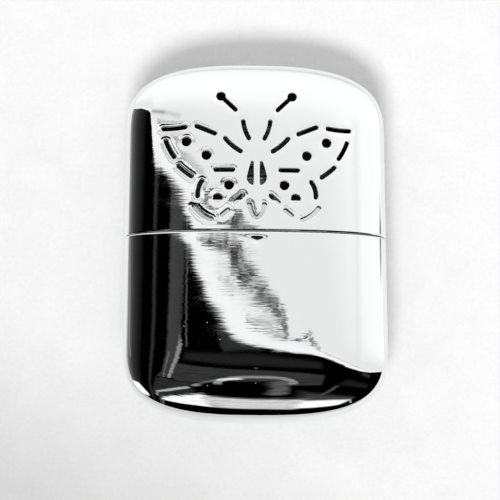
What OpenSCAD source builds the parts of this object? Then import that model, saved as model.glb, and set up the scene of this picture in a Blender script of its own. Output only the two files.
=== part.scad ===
// Pocket catalytic hand warmer, lying on its back.
// X runs across the case, Y along it from the tank to the cap, and Z up from the surface it lies on.
// The case modules are drawn from the seam (y = 0) and the case's mid-plane (z = 0), then placed.

/* [Case] */
// Width of the case
body_w = 68; // [62:1:80]
// Thickness of the case
body_t = 16.2; // [15.4:0.2:20]
// Height of the cap above the seam
cap_h = 47.5; // [44:0.5:60]
// Height of the tank below the seam
tank_h = 48.2; // [40:0.2:64]
// Length of each half that keeps the full section, measured from the seam
straight_h = 27; // [16:1:30]
// Power of the section's oval across the width
section_w_power = 2.4; // [2:0.1:3]
// Power of the section's oval across the thickness
section_t_power = 2.6; // [2.2:0.1:3.2]
// How late the ends start to round off
end_power = 3.15; // [2.4:0.05:4.5]
// How full the rounded ends are
end_round = 2.75; // [2:0.05:3.4]
// Sheet thickness of the cap
cap_wall = 0.6; // [0.4:0.05:0.8]
// Sheet thickness of the tank shell
tank_wall = 0.6; // [0.4:0.05:0.8]
// Rounding of the cap's rim
cap_edge_r = 0.25; // [0.1:0.05:0.35]
// Rounding of the tank shell's mouth
tank_edge_r = 0.4; // [0.1:0.05:0.45]
// Gap between the cap's rim and the tank shell
seam_gap = 0.15; // [0.1:0.05:0.4]

/* [Tank top] */
// Height of the collar that the cap slides over
collar_h = 8.8; // [7:0.2:10]
// Depth that the tank top reaches into the tank shell
collar_tuck = 6; // [4:0.5:9]
// Clearance between the collar and the cap, on each side
collar_fit = 0.15; // [0.1:0.05:0.3]
// Rounding of the tank top's edge
collar_r = 0.5; // [0.3:0.1:2]
// Sheet thickness of the tank top
top_wall = 0.5; // [0.4:0.05:0.7]
// Height of the solder fillet round the neck
solder_rise = 0.45; // [0.2:0.05:0.6]

/* [Filler neck] */
// Width of the neck, outside
neck_w = 14; // [12:0.5:18]
// Thickness of the neck, outside
neck_t = 8; // [7:0.25:8.5]
// Height of the neck above the tank top
neck_h = 5.4; // [4.6:0.2:6]
// Sheet thickness of the neck
neck_wall = 0.45; // [0.3:0.05:0.6]
// Width of the flange under the tank top
neck_flange = 1; // [0.6:0.1:1.4]
// Width of the strap across the mouth
bridge_w = 1.6; // [1:0.1:2.4]
// Thickness of that strap
bridge_t = 0.4; // [0.3:0.05:0.6]
// Depth of the strap below the rim
bridge_drop = 4; // [3:0.1:4.2]

/* [Filling] */
// Clearance round the cotton and the felt
fill_gap = 0.3; // [0.1:0.05:0.6]
// Thickness of the felt pad
felt_t = 2.5; // [1.5:0.25:4]

/* [Burner] */
// Width of the burner
burner_w = 24; // [22:0.5:30]
// Thickness of the burner
burner_t = 9.6; // [9.2:0.1:10.6]
// Height of the burner above its foot
burner_h = 15.5; // [13:0.5:18]
// Radius of the burner's upper corners
burner_r = 2.5; // [1:0.25:4]
// Height of the foot that slips over the neck
socket_h = 5.7; // [5:0.1:6.5]
// Clearance between the foot and the neck, on each side
socket_fit = 0.06; // [0.04:0.01:0.12]
// Gap between the foot and the tank top
socket_gap = 0.9; // [0.7:0.1:1.5]
// Sheet thickness of the foot
socket_wall = 0.4; // [0.3:0.05:0.5]
// Sheet thickness of the two half frames
frame_wall = 0.4; // [0.3:0.05:0.6]
// Width of each window
window_w = 18; // [12:0.5:18.5]
// Height of each window
window_h = 9.5; // [7:0.5:9.5]
// Radius of the window's corners
window_r = 1.2; // [0.5:0.1:2]
// Width of the strip round the burner's edge
strip_w = 3.2; // [2:0.2:5]
// Thickness of that strip
strip_t = 0.3; // [0.2:0.05:0.4]
// Wire thickness of the gauzes
gauze_t = 0.3; // [0.2:0.05:0.45]
// Distance from wire to wire
gauze_pitch = 1.25; // [1:0.05:2]
// Rim of gauze held behind the window's edge
gauze_margin = 1; // [0.5:0.1:1.2]
// Thickness of each catalyst mat
mat_t = 1.7; // [1:0.1:2.2]
// Width of the frame between the mats
spacer_w = 1.6; // [1:0.1:2.4]
// Clearance round the mats and their frame
mat_gap = 0.15; // [0.1:0.05:0.3]
// Diameter of the holes in the vapour plate
vapour_hole_d = 1; // [0.6:0.1:1.4]

/* [Vents] */
// Height of the wing slots above the seam
vent_y = 16.35; // [15.75:0.2:18.95]
// Width of the punched slots
slot_w = 1.15; // [0.8:0.05:1.4]
// Diameter of the punched round holes
hole_d = 2.5; // [1.8:0.1:2.9]

/* [Hidden] */
$fn = 48;

// Facets of the case: points round the section, rings along each end, steps round an edge
section_points = 48;
end_rings = 10;
end_angle = 84;
edge_steps = 3;
// How far a cutter runs past the face that it cuts
past = 1;

half_w = body_w / 2;
half_t = body_t / 2;
collar_inset = max(cap_wall, tank_wall) + collar_fit;
collar_half_w = half_w - collar_inset;
collar_half_t = half_t - collar_inset;
plate_under = collar_h - top_wall;
felt_top = plate_under - neck_wall - fill_gap;
felt_bottom = felt_top - felt_t;
neck_top = collar_h + neck_h;
neck_bore_w = neck_w - 2 * neck_wall;
neck_bore_t = neck_t - 2 * neck_wall;
wick_w = neck_bore_w - 2 * fill_gap;
wick_t = neck_bore_t - 2 * fill_gap;
solder_w = 0.5;
bridge_y = neck_top - bridge_drop;

socket_bottom = collar_h + socket_gap;
burner_bottom = socket_bottom + socket_h;
burner_half_t = burner_t / 2;
frame_inside = burner_half_t - frame_wall;
mat_front = frame_inside - gauze_t;
mat_back = mat_front - mat_t;
window_y = burner_bottom + burner_h / 2;
vapour_columns = floor((neck_bore_w - vapour_hole_d) / (2 * vapour_hole_d));
vapour_rows = floor((neck_bore_t - vapour_hole_d) / (2 * vapour_hole_d));

// The vents make a butterfly: one wing's punches, x from the axis and y from the wing slots.
// Straight and bowed slots, from tip to tip, with how far the middle bows out
wing_slots = [
    [[3.7, 13.7], [1.85, 8], 0.25],
    [[8.6, 8.9], [3.75, 4.65], 0.25],
    [[16.1, 12.1], [10.35, 9.65], 0],
    [[24.75, 11.3], [18, 11.7], 0.15],
    [[23.8, 8.45], [21.1, 3.1], 0.15],
    [[20.6, 1.45], [16.4, -2.05], 0.1],
    [[13.95, -2.5], [15.4, -7.65], 0.35],
    [[16.45, -9.6], [11.25, -13.6], 0.45],
    [[3.2, -6.5], [5.95, -9.05], 0],
    [[6.95, -10.4], [9.35, -12.5], 0],
    [[5.6, 0], [11.2, 0], 0],
];
// Antenna: the centre of its ball and the tip of its stalk
antenna = [[9.3, 20.2], [5.1, 16]];
// Round holes
wing_holes = [[18.2, 7.7], [13, 3.95], [7.15, -4.1], [10.05, -7.6]];
// One half of the slotted body
body_half = [[0.76, 2.2], [1.1, 2.4], [1.5, 2.3], [2, 0.6], [2.45, -1.2], [2.6, -2.1],
    [2.45, -2.9], [2, -3.55], [1.4, -3.95], [1, -4.05], [0.76, -3.8]];
// The tail below the body, from end to end
tail = [[-1.95, -9.3], [-1.5, -11.2], [-0.8, -12.3], [0, -12.65], [0.8, -12.3], [1.5, -11.2],
    [1.95, -9.3]];

// Puts what is drawn from the seam and the mid-plane into the part's own frame
module place() {
    translate([0, (tank_h - cap_h) / 2, half_t]) children();
}

// Extrudes a drawing in X and Z along Y, from one height above the seam to another
module along_y(from, to) {
    translate([0, to, 0]) rotate([90, 0, 0]) linear_extrude(height = to - from) children();
}

// A power that keeps the sign of what it is taken of
function signed_power(v, p) = sign(v) * pow(abs(v), p);

// Points round the case's oval section, with a flat facet on each of its four sides
function oval(w, t) = [
    for (i = [0 : section_points - 1])
        let (
            half_step = 180 / section_points,
            a = (2 * i + 1) * half_step
        )
        [w * signed_power(cos(a) / cos(half_step), 2 / section_w_power),
            t * signed_power(sin(a) / cos(half_step), 2 / section_t_power)]
];

// Rings [y, half width, half thickness] that round off an end, from the straight part outwards
function end_of_case(w, t, reach) = [
    for (k = [0 : end_rings])
        let (
            a = end_angle * k / end_rings,
            run = pow(sin(a) / sin(end_angle), 2 / end_power),
            size = pow(cos(a), 2 / end_round)
        )
        [straight_h + (reach - straight_h) * run, w * size, t * size]
];

// Rings that round the rim of a shell which starts at height y
function rounded_rim(y, w, t, r) = [
    for (k = [0 : edge_steps])
        let (a = 90 * k / edge_steps)
            [y + r * (1 - cos(a)), w - r * (1 - sin(a)), t - r * (1 - sin(a))]
];

// Rings that round a drawn edge which ends at height y
function rounded_top(y, w, t, r) = [
    for (k = [0 : edge_steps])
        let (a = 90 * k / edge_steps)
            [y - r * (1 - sin(a)), w - r * (1 - cos(a)), t - r * (1 - cos(a))]
];

// Solid through a list of rings of the oval section
module loft(rings) {
    n = section_points;
    last = len(rings) - 1;
    points = [for (ring = rings) for (p = oval(ring[1], ring[2])) [p[0], ring[0], p[1]]];
    sides = [
        for (k = [0 : last - 1])
            for (i = [0 : n - 1])
                let (j = (i + 1) % n)
                    [k * n + i, k * n + j, (k + 1) * n + j, (k + 1) * n + i]
    ];
    near_end = [for (i = [n - 1 : -1 : 0]) i];
    far_end = [for (i = [0 : n - 1]) last * n + i];
    polyhedron(points = points, faces = concat([near_end], sides, [far_end]));
}

// Half of the case as a shell that is open at the seam
module half_shell(height, wall, edge_r, start) {
    difference() {
        loft(concat(rounded_rim(start, half_w, half_t, edge_r), end_of_case(half_w, half_t, height)));
        loft(concat([[start - past, half_w - wall, half_t - wall]],
            end_of_case(half_w - wall, half_t - wall, height - wall)));
    }
}

// Flat-sided oval, for the neck and what fits it
module stadium(w, t) {
    square([w - t, t], center = true);
    for (side = [-1, 1]) translate([side * (w - t) / 2, 0]) circle(d = t);
}

// Rectangle with four round corners
module rounded_rectangle(w, h, r) {
    square([w - 2 * r, h], center = true);
    square([w, h - 2 * r], center = true);
    for (x = [-1, 1]) for (y = [-1, 1]) translate([x * (w / 2 - r), y * (h / 2 - r)]) circle(r = r);
}

// Front view of the burner, grown by a distance all round except at its foot
module burner_outline(grow) {
    w = burner_w + 2 * grow;
    r = max(burner_r + grow, 0.3);
    top = burner_bottom + burner_h + grow;
    translate([-w / 2, burner_bottom]) square([w, top - r - burner_bottom]);
    translate([-w / 2 + r, burner_bottom]) square([w - 2 * r, top - burner_bottom]);
    for (x = [-1, 1]) translate([x * (w / 2 - r), top - r]) circle(r = r);
}

// Middle points of a bowed slot whose round ends touch the two tips
function slot_path(a, b, bow) =
    let (
        along = (b - a) / norm(b - a),
        across = [-along[1], along[0]],
        from = a + along * slot_w / 2,
        to = b - along * slot_w / 2
    )
    bow == 0 ? [from, to] : [
        for (k = [0 : 4])
            let (f = k / 4)
                from + (to - from) * f + across * bow * 4 * f * (1 - f)
    ];

// Outline of a stroke with round ends along some points
function stroke(path, w) =
    let (
        n = len(path),
        step = 30,
        heading = [
            for (i = [0 : n - 1])
                let (d = path[min(i + 1, n - 1)] - path[max(i - 1, 0)]) atan2(d[1], d[0])
        ],
        side = function(i, turn) path[i] + w / 2 * [cos(heading[i] + turn), sin(heading[i] + turn)]
    )
    concat(
        [for (i = [0 : n - 1]) side(i, 90)],
        [for (turn = [90 - step : -step : step - 90]) side(n - 1, turn)],
        [for (i = [n - 1 : -1 : 0]) side(i, -90)],
        [for (turn = [-90 - step : -step : step - 270]) side(0, turn)]
    );

// Every punch of one wing, as a drawing seen from the front
module wing_punches() {
    for (slot = wing_slots) polygon(stroke(slot_path(slot[0], slot[1], slot[2]), slot_w));
    polygon(stroke(slot_path(antenna[0], antenna[1], 0), slot_w));
    translate(antenna[0]) circle(d = hole_d);
    for (centre = wing_holes) translate(centre) circle(d = hole_d);
    polygon(body_half);
}

module vent_punches() {
    translate([0, vent_y, 0]) linear_extrude(height = half_t + past) {
        wing_punches();
        mirror([1, 0]) wing_punches();
        polygon(stroke(tail, slot_w));
    }
}

module cap_shell() {
    color([0.86, 0.87, 0.88]) place() difference() {
        half_shell(cap_h, cap_wall, min(cap_edge_r, cap_wall / 2), seam_gap);
        vent_punches();
    }
}

module tank_shell() {
    color([0.84, 0.85, 0.86]) place() mirror([0, 1, 0])
        half_shell(tank_h, tank_wall, min(tank_edge_r, tank_wall * 0.75), 0);
}

module tank_top() {
    inner_w = collar_half_w - top_wall;
    inner_t = collar_half_t - top_wall;
    color([0.8, 0.81, 0.82]) place() difference() {
        loft(concat([[-collar_tuck, collar_half_w, collar_half_t]],
            rounded_top(collar_h, collar_half_w, collar_half_t, collar_r)));
        loft(concat([[-collar_tuck - past, inner_w, inner_t]],
            rounded_top(plate_under, inner_w, inner_t, max(collar_r - top_wall, 0.1))));
        along_y(plate_under - past, collar_h + past) stadium(neck_w, neck_t);
    }
}

module shell_solder() {
    color([0.6, 0.61, 0.62]) place() along_y(-collar_tuck, -tank_edge_r) difference() {
        polygon(oval(half_w - tank_wall, half_t - tank_wall));
        polygon(oval(collar_half_w, collar_half_t));
    }
}

module filler_neck() {
    color([0.78, 0.79, 0.8]) place() difference() {
        union() {
            along_y(plate_under, neck_top) stadium(neck_w, neck_t);
            along_y(plate_under - neck_wall, plate_under)
                stadium(neck_w + 2 * neck_flange, neck_t + 2 * neck_flange);
        }
        along_y(plate_under - neck_wall - past, neck_top + past) stadium(neck_bore_w, neck_bore_t);
    }
}

module neck_solder() {
    color([0.6, 0.61, 0.62]) place() along_y(collar_h, collar_h + solder_rise) difference() {
        stadium(neck_w + 2 * solder_w, neck_t + 2 * solder_w);
        stadium(neck_w, neck_t);
    }
}

// The tank's cotton: it fills the shell and reaches up inside the tank top to the felt
module cotton_wadding() {
    wide = half_w - tank_wall - fill_gap;
    deep = half_t - tank_wall - fill_gap;
    narrow = collar_half_w - top_wall - fill_gap;
    shallow = collar_half_t - top_wall - fill_gap;
    shoulder = collar_tuck + fill_gap;
    color([0.93, 0.92, 0.88]) place() mirror([0, 1, 0]) loft(concat(
        [[-felt_bottom, narrow, shallow], [shoulder, narrow, shallow], [shoulder + 1, wide, deep]],
        end_of_case(wide, deep, tank_h - tank_wall - fill_gap)));
}

module felt_pad() {
    color([0.82, 0.8, 0.74]) place() along_y(felt_bottom, felt_top) difference() {
        polygon(oval(collar_half_w - top_wall - fill_gap, collar_half_t - top_wall - fill_gap));
        stadium(neck_bore_w, neck_bore_t);
    }
}

module neck_wick() {
    color([0.95, 0.94, 0.9]) place() along_y(felt_bottom, bridge_y) stadium(wick_w, wick_t);
}

module wick_bridge() {
    color([0.75, 0.76, 0.78]) place()
        translate([-bridge_w / 2, bridge_y, -neck_bore_t / 2]) cube([bridge_w, bridge_t, neck_bore_t]);
}

module burner_socket() {
    bore_w = neck_w + 2 * socket_fit;
    bore_t = neck_t + 2 * socket_fit;
    color([0.7, 0.7, 0.71]) place() difference() {
        union() {
            along_y(socket_bottom, burner_bottom)
                stadium(bore_w + 2 * socket_wall, bore_t + 2 * socket_wall);
            along_y(burner_bottom - socket_wall, burner_bottom)
                square([burner_w, burner_t], center = true);
        }
        along_y(socket_bottom - past, burner_bottom + past) stadium(bore_w, bore_t);
    }
}

module vapour_plate() {
    pitch = 2 * vapour_hole_d;
    color([0.62, 0.62, 0.63]) place() difference() {
        along_y(burner_bottom, burner_bottom + frame_wall)
            square([burner_w - 2 * frame_wall - 2 * mat_gap, 2 * frame_inside], center = true);
        for (i = [1 : vapour_columns]) for (j = [1 : vapour_rows])
            translate([(i - (vapour_columns + 1) / 2) * pitch, burner_bottom - past,
                (j - (vapour_rows + 1) / 2) * pitch])
                rotate([-90, 0, 0]) cylinder(d = vapour_hole_d, h = frame_wall + 2 * past);
    }
}

// Front half of the burner's frame: a tray with a window, open at the back and at the foot
module half_frame() {
    difference() {
        linear_extrude(height = burner_half_t) burner_outline(0);
        translate([0, -past, -past]) linear_extrude(height = frame_inside + past) {
            burner_outline(-frame_wall);
            translate([0, past]) burner_outline(-frame_wall);
        }
        translate([0, window_y, 0]) linear_extrude(height = burner_half_t + past)
            rounded_rectangle(window_w, window_h, window_r);
    }
}

module front_frame() {
    color([0.55, 0.55, 0.56]) place() half_frame();
}

module rear_frame() {
    color([0.55, 0.55, 0.56]) place() mirror([0, 0, 1]) half_frame();
}

module edge_strip() {
    color([0.6, 0.6, 0.61]) place() translate([0, 0, -strip_w / 2])
        linear_extrude(height = strip_w) difference() {
            burner_outline(strip_t);
            burner_outline(0);
        }
}

// Front gauze: crossed wires behind the window, drawn as one woven sheet
module gauze() {
    sheet_w = window_w + 2 * gauze_margin;
    sheet_h = window_h + 2 * gauze_margin;
    columns = floor(window_w / gauze_pitch);
    rows = floor(window_h / gauze_pitch);
    gap = gauze_pitch - gauze_t;
    translate([0, window_y, mat_front]) linear_extrude(height = gauze_t) difference() {
        square([sheet_w, sheet_h], center = true);
        for (i = [1 : columns]) for (j = [1 : rows])
            translate([(i - (columns + 1) / 2) * gauze_pitch, (j - (rows + 1) / 2) * gauze_pitch])
                square(gap, center = true);
    }
}

module front_gauze() {
    color([0.35, 0.35, 0.36]) place() gauze();
}

module rear_gauze() {
    color([0.35, 0.35, 0.36]) place() mirror([0, 0, 1]) gauze();
}

// Front mat: it stands on the vapour plate and fills the frame behind the gauze
module catalyst_mat() {
    foot = burner_bottom + frame_wall;
    translate([0, 0, mat_back]) linear_extrude(height = mat_t) difference() {
        burner_outline(-frame_wall - mat_gap);
        translate([-burner_w / 2, burner_bottom - past]) square([burner_w, foot - burner_bottom + past]);
    }
}

module front_mat() {
    color([0.5, 0.49, 0.47]) place() catalyst_mat();
}

module rear_mat() {
    color([0.5, 0.49, 0.47]) place() mirror([0, 0, 1]) catalyst_mat();
}

// Arch between the mats, open at the foot for the vapour
module mat_spacer() {
    foot = burner_bottom + frame_wall;
    color([0.62, 0.62, 0.63]) place() translate([0, 0, -mat_back])
        linear_extrude(height = 2 * mat_back) difference() {
            burner_outline(-frame_wall - mat_gap);
            burner_outline(-frame_wall - mat_gap - spacer_w);
            translate([-burner_w / 2, burner_bottom - past])
                square([burner_w, foot - burner_bottom + past]);
        }
}

tank_shell();
tank_top();
shell_solder();
filler_neck();
neck_solder();
cotton_wadding();
felt_pad();
neck_wick();
wick_bridge();
burner_socket();
vapour_plate();
front_frame();
rear_frame();
edge_strip();
front_gauze();
rear_gauze();
front_mat();
rear_mat();
mat_spacer();
cap_shell();
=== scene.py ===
import math

import bpy
import numpy as np
from mathutils import Matrix, Vector, kdtree, noise
from mathutils.geometry import delaunay_2d_cdt


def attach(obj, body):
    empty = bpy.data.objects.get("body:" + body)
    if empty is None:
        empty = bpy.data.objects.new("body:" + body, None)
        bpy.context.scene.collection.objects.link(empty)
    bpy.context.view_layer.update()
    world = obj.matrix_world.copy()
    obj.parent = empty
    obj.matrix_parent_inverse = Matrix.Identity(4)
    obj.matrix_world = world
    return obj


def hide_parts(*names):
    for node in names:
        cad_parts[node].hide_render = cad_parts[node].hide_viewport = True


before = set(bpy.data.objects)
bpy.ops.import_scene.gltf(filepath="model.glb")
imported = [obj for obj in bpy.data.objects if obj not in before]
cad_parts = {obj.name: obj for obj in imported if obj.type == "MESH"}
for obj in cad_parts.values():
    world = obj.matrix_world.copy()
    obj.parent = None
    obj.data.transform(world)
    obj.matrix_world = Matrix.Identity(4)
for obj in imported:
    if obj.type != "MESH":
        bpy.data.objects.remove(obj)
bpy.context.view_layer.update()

# Sizes in millimetres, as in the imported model. Heights count from the seam between tank and cap.
MM = 0.001
SEAM_Y = 0.35
MID_Z = 8.1
HALF_W = 34.0
HALF_T = 8.1
CAP_H = 47.5
TANK_H = 48.2
STRAIGHT_H = 27.0
SECTION_W_POWER = 2.4
SECTION_T_POWER = 2.6
END_POWER = 3.15
END_ROUND = 2.75
WALL = 0.6
SEAM_GAP = 0.15
# Outer edge of each rim, from the case's face to the rim's level: how far in, and how far from it
CAP_EDGE = [(0, 0.55), (0.01, 0.45), (0.032, 0.33), (0.065, 0.17), (0.085, 0.07), (0.12, 0.02), (0.18, 0)]
TANK_EDGE = [(0.4 - 0.4 * math.cos(math.radians(a)), 0.4 - 0.4 * math.sin(math.radians(a)))
             for a in range(0, 91, 15)]
COLLAR_H = 8.8
COLLAR_TUCK = 6.0
COLLAR_INSET = 0.75
COLLAR_R = 0.5
TOP_WALL = 0.5
NECK_W = 14.0
NECK_T = 8.0
NECK_TOP = 14.2
NECK_WALL = 0.45
NECK_FLANGE = 1.0
SOLDER_W = 0.5
SOLDER_RISE = 0.45
BRIDGE_W = 1.6
BRIDGE_T = 0.4
BRIDGE_Y = 10.2
FILL_GAP = 0.3
FELT_TOP = 7.55
FELT_T = 2.5
BURNER_W = 24.0
BURNER_T = 9.6
BURNER_BOTTOM = 15.4
BURNER_H = 15.5
BURNER_R = 2.5
FRAME_WALL = 0.4
WINDOW_W = 18.0
WINDOW_H = 9.5
WINDOW_R = 1.2
STRIP_W = 3.2
STRIP_T = 0.3
GAUZE_T = 0.3
GAUZE_MARGIN = 1.0
MAT_T = 1.7
MAT_GAP = 0.15
WICK_W = 12.5
WICK_T = 6.5
SOCKET_BOTTOM = 9.7
SOCKET_FIT = 0.06
SOCKET_WALL = 0.4
VENT_Y = 16.35
SLOT_W = 1.15
HOLE_D = 2.5

# One wing of the butterfly of vents: x from the axis, y from the wing slots, as in the source
WING_SLOTS = [
    ((3.7, 13.7), (1.85, 8), 0.25),
    ((8.6, 8.9), (3.75, 4.65), 0.25),
    ((16.1, 12.1), (10.35, 9.65), 0),
    ((24.75, 11.3), (18, 11.7), 0.15),
    ((23.8, 8.45), (21.1, 3.1), 0.15),
    ((20.6, 1.45), (16.4, -2.05), 0.1),
    ((13.95, -2.5), (15.4, -7.65), 0.35),
    ((16.45, -9.6), (11.25, -13.6), 0.45),
    ((3.2, -6.5), (5.95, -9.05), 0),
    ((6.95, -10.4), (9.35, -12.5), 0),
    ((5.6, 0), (11.2, 0), 0),
]
ANTENNA_BALL = (9.3, 20.2)
ANTENNA_TIP = (5.1, 16)
WING_HOLES = [(18.2, 7.7), (13, 3.95), (7.15, -4.1), (10.05, -7.6)]
BODY_HALF = [(0.76, 2.2), (1.1, 2.4), (1.5, 2.3), (2, 0.6), (2.45, -1.2), (2.6, -2.1), (2.45, -2.9),
             (2, -3.55), (1.4, -3.95), (1, -4.05), (0.76, -3.8)]
TAIL = [(-1.95, -9.3), (-1.5, -11.2), (-0.8, -12.3), (0, -12.65), (0.8, -12.3), (1.5, -11.2),
        (1.95, -9.3)]

# How far the sheet is pressed in at a punched edge: a tight lip, a wide dish, and a bend a little
# way out
LIP_DEPTH = 0.05
LIP_REACH = 0.05
DISH_SLOPE = 0.007
DISH_REACH = 0.9
BEND_SLOPE = 0.033
BEND_AT = 0.75
BEND_REACH = (0.15, 0.22)
# How far each half narrows towards the seam: its slope there, and where that starts
CAP_TAPER = (0.007, 17)
TANK_TAPER = (0.003, 24)
TAPER_SOFT = 1.5
# The dishes are shallower on the axis, and full from this far out
MIDDLE_SHARE = 0.5
WING_X = 17
# A small dent on the axis of the tank, under the seam
DENT_DEPTH = 0.1
DENT_H = 2.45
DENT_REACH = (0.9, 0.62)
DENT_FLARE = 0.9
# The tank's skin is finer round the dent: this far out from the axis, at this spacing
FINE_W = 3.5
FINE_GAP = 0.25
# The patch of the cap's front that holds the vents: its share of the half width, and its heights
PATCH_SHARE = 0.845
PATCH_LOW = 0.75
PATCH_HIGH = 40.6


# ---------------------------------------------------------------- meshes

def link(name, mesh, material, body, node=None):
    """Makes the piece, with its material and body, and hides the node it replaces."""
    piece = bpy.data.objects.new(name, mesh)
    bpy.context.scene.collection.objects.link(piece)
    mesh.materials.append(material)
    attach(piece, body)
    if node:
        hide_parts(node)
    return piece


def make_mesh(name, verts, faces, normals=None, sharp=40, painted_shade_faces=()):
    """Smooth mesh from points in millimetres. A zero normal is left to Blender. The listed inner faces
    take the mesh's second material, the dark metal painted as shade inside the case."""
    mesh = bpy.data.meshes.new(name)
    mesh.from_pydata([tuple(p) for p in np.asarray(verts) * MM], [], [tuple(f) for f in faces])
    for face in painted_shade_faces:
        mesh.polygons[face].material_index = 1
    mesh.validate()
    mesh.update()
    mesh.polygons.foreach_set("use_smooth", [True] * len(mesh.polygons))
    mesh.set_sharp_from_angle(angle=math.radians(sharp))
    if normals is not None:
        mesh.normals_split_custom_set_from_vertices([tuple(n) for n in normals])
    return mesh


class Parts:
    """Points, normals and faces of one mesh, gathered part by part."""

    def __init__(self):
        self.points = []
        self.normals = []
        self.faces = []
        self.painted_shade_faces = []
        self.count = 0

    def add(self, points, normals=None):
        """Adds points and gives the index of each."""
        points = np.asarray(points, float).reshape(-1, 3)
        if normals is None:
            normals = np.zeros_like(points)
        self.points.append(points)
        self.normals.append(np.asarray(normals, float).reshape(-1, 3))
        first = self.count
        self.count += len(points)
        return np.arange(first, self.count)

    def strip(self, low, high, closed=True):
        """Faces between two rows of equally many points."""
        n = len(low)
        for i in range(n if closed else n - 1):
            j = (i + 1) % n
            self.faces.append((low[j], low[i], high[i], high[j]))

    def patch(self, ids, triangles, flipped):
        """Faces from triangles among the points with these ids."""
        for a, b, c in triangles:
            self.faces.append((ids[a], ids[c], ids[b]) if flipped else (ids[a], ids[b], ids[c]))

    def fan(self, row, tip, flipped):
        """Faces from a closed row to a tip."""
        for i, j in zip(row, np.roll(row, -1)):
            self.faces.append((i, j, tip) if flipped else (j, i, tip))

    def seen_from_front(self, ids):
        """Points as (x, height above the seam)."""
        return np.vstack(self.points)[ids][:, :2] - (0, SEAM_Y)

    def seen_along(self, ids):
        """Points of the case's cross plane, as (x, z from the mid-plane)."""
        return np.vstack(self.points)[ids][:, ::2] - (0, MID_Z)

    def mesh(self, name, sharp=40):
        return make_mesh(name, np.vstack(self.points), self.faces, np.vstack(self.normals), sharp,
                         self.painted_shade_faces)


# ---------------------------------------------------------------- the case's form

def spaced(path, bend, gap, turn):
    """Indices along a dense path, spaced by length and by turn."""
    step = np.diff(path, axis=0)
    length = np.hypot(step[:, 0], step[:, 1])
    bend_step = np.diff(bend, axis=0)
    heading = np.unwrap(np.arctan2(bend_step[:, 1], bend_step[:, 0]))
    turned = np.abs(np.append(np.diff(heading), 0))
    measure = np.append(0, np.cumsum(length / gap + turned / math.radians(turn)))
    count = max(2, round(measure[-1]))
    return np.searchsorted(measure, np.linspace(0, measure[-1], count + 1) - 1e-9)


def unit_section(gap=0.8, turn=5, fine=False):
    """Points round the oval section of half sizes 1, from +X towards +Z."""
    a = np.linspace(0, math.pi / 2, 6001)
    x = np.cos(a) ** (2 / SECTION_W_POWER)
    z = np.sin(a) ** (2 / SECTION_T_POWER)
    x[-1] = 0
    path = np.stack([x * HALF_W, z * HALF_T], -1)
    pick = spaced(path, path, gap, turn)
    quarter = np.stack([x[pick], z[pick]], -1)
    if fine:
        cx = np.arange(FINE_W, -0.01, -FINE_GAP) / HALF_W
        middle = np.stack([cx, (1 - cx ** SECTION_W_POWER) ** (1 / SECTION_T_POWER)], -1)
        quarter = np.vstack([quarter[quarter[:, 0] > cx[0] + 0.01], middle])
    back = quarter[::-1]
    return np.vstack([quarter[:-1], (back * (-1, 1))[:-1], (quarter * (-1, -1))[:-1],
                      (back * (1, -1))[:-1]])


def end_profile(reach, gap=0.8, turn=5):
    """Heights and sizes along a rounded end, from the straight part to the tip."""
    a = np.linspace(0, math.pi / 2, 6001)
    height = STRAIGHT_H + (reach - STRAIGHT_H) * np.sin(a) ** (2 / END_POWER)
    size = np.cos(a) ** (2 / END_ROUND)
    size[-1] = 0
    pick = spaced(np.stack([height, size * HALF_W], -1), np.stack([height, size * HALF_T], -1),
                  gap, turn)
    return height[pick], size[pick]


def end_size(h, reach):
    """Size of the section at a height, and its slope."""
    t = np.clip((h - STRAIGHT_H) / (reach - STRAIGHT_H), 0, 0.9999)
    left = 1 - t ** END_POWER
    size = left ** (1 / END_ROUND)
    slope = -END_POWER / END_ROUND * t ** (END_POWER - 1) * left ** (1 / END_ROUND - 1)
    return size, slope / (reach - STRAIGHT_H)


def taper(h, narrowing):
    """How much thinner half the case is at a height above the seam, and the slope."""
    most, start = narrowing
    away = (start - h) / TAPER_SOFT
    return most * TAPER_SOFT * np.log1p(np.exp(away)), -most / (1 + np.exp(-away))


def case_normals(cx, cz, size, slope, w, t, way, thinning=0):
    """Unit normals of the case where its unit section is (cx, cz)."""
    gx = SECTION_W_POWER * np.sign(cx) * np.abs(cx) ** (SECTION_W_POWER - 1) / (w * size)
    gz = SECTION_T_POWER * np.sign(cz) * np.abs(cz) ** (SECTION_T_POWER - 1) / (t * size)
    gs = (SECTION_W_POWER * np.abs(cx) ** SECTION_W_POWER
          + SECTION_T_POWER * np.abs(cz) ** SECTION_T_POWER) / size
    gt = SECTION_T_POWER * np.abs(cz) ** SECTION_T_POWER * thinning / t
    g = np.stack([gx, -way * (slope * gs + gt), gz], -1)
    return g / np.linalg.norm(g, axis=-1, keepdims=True)


class Surface:
    """One face of a half of the case: the outside, or the inside at a wall's depth."""

    def __init__(self, w, t, reach, way, narrowing=(0, 0)):
        self.w, self.t, self.reach, self.way = w, t, reach, way
        self.narrowing = narrowing

    def thickness(self, h):
        return self.t - taper(h, self.narrowing)[0]

    def ring(self, section, h, size):
        return np.stack([self.w * size * section[:, 0], np.full(len(section), SEAM_Y + self.way * h),
                         MID_Z + self.thickness(h) * size * section[:, 1]], -1)

    def ring_normals(self, section, h):
        size, slope = end_size(np.full(len(section), h), self.reach)
        return case_normals(section[:, 0], section[:, 1], size, slope, self.w, self.thickness(h),
                            self.way, -taper(h, self.narrowing)[1])

    def front(self, x, h):
        """Height of the front face above the table, and its slopes along x and h."""
        size, slope = end_size(h, self.reach)
        cx = x / (self.w * size)
        cz = np.clip(1 - np.abs(cx) ** SECTION_W_POWER, 1e-9, 1) ** (1 / SECTION_T_POWER)
        t = self.thickness(h)
        normal = case_normals(cx, cz, size, slope, self.w, t, 1, -taper(h, self.narrowing)[1])
        return MID_Z + t * size * cz, -normal[:, 0] / normal[:, 2], -normal[:, 1] / normal[:, 2]


# ---------------------------------------------------------------- outlines in the plane

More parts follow.
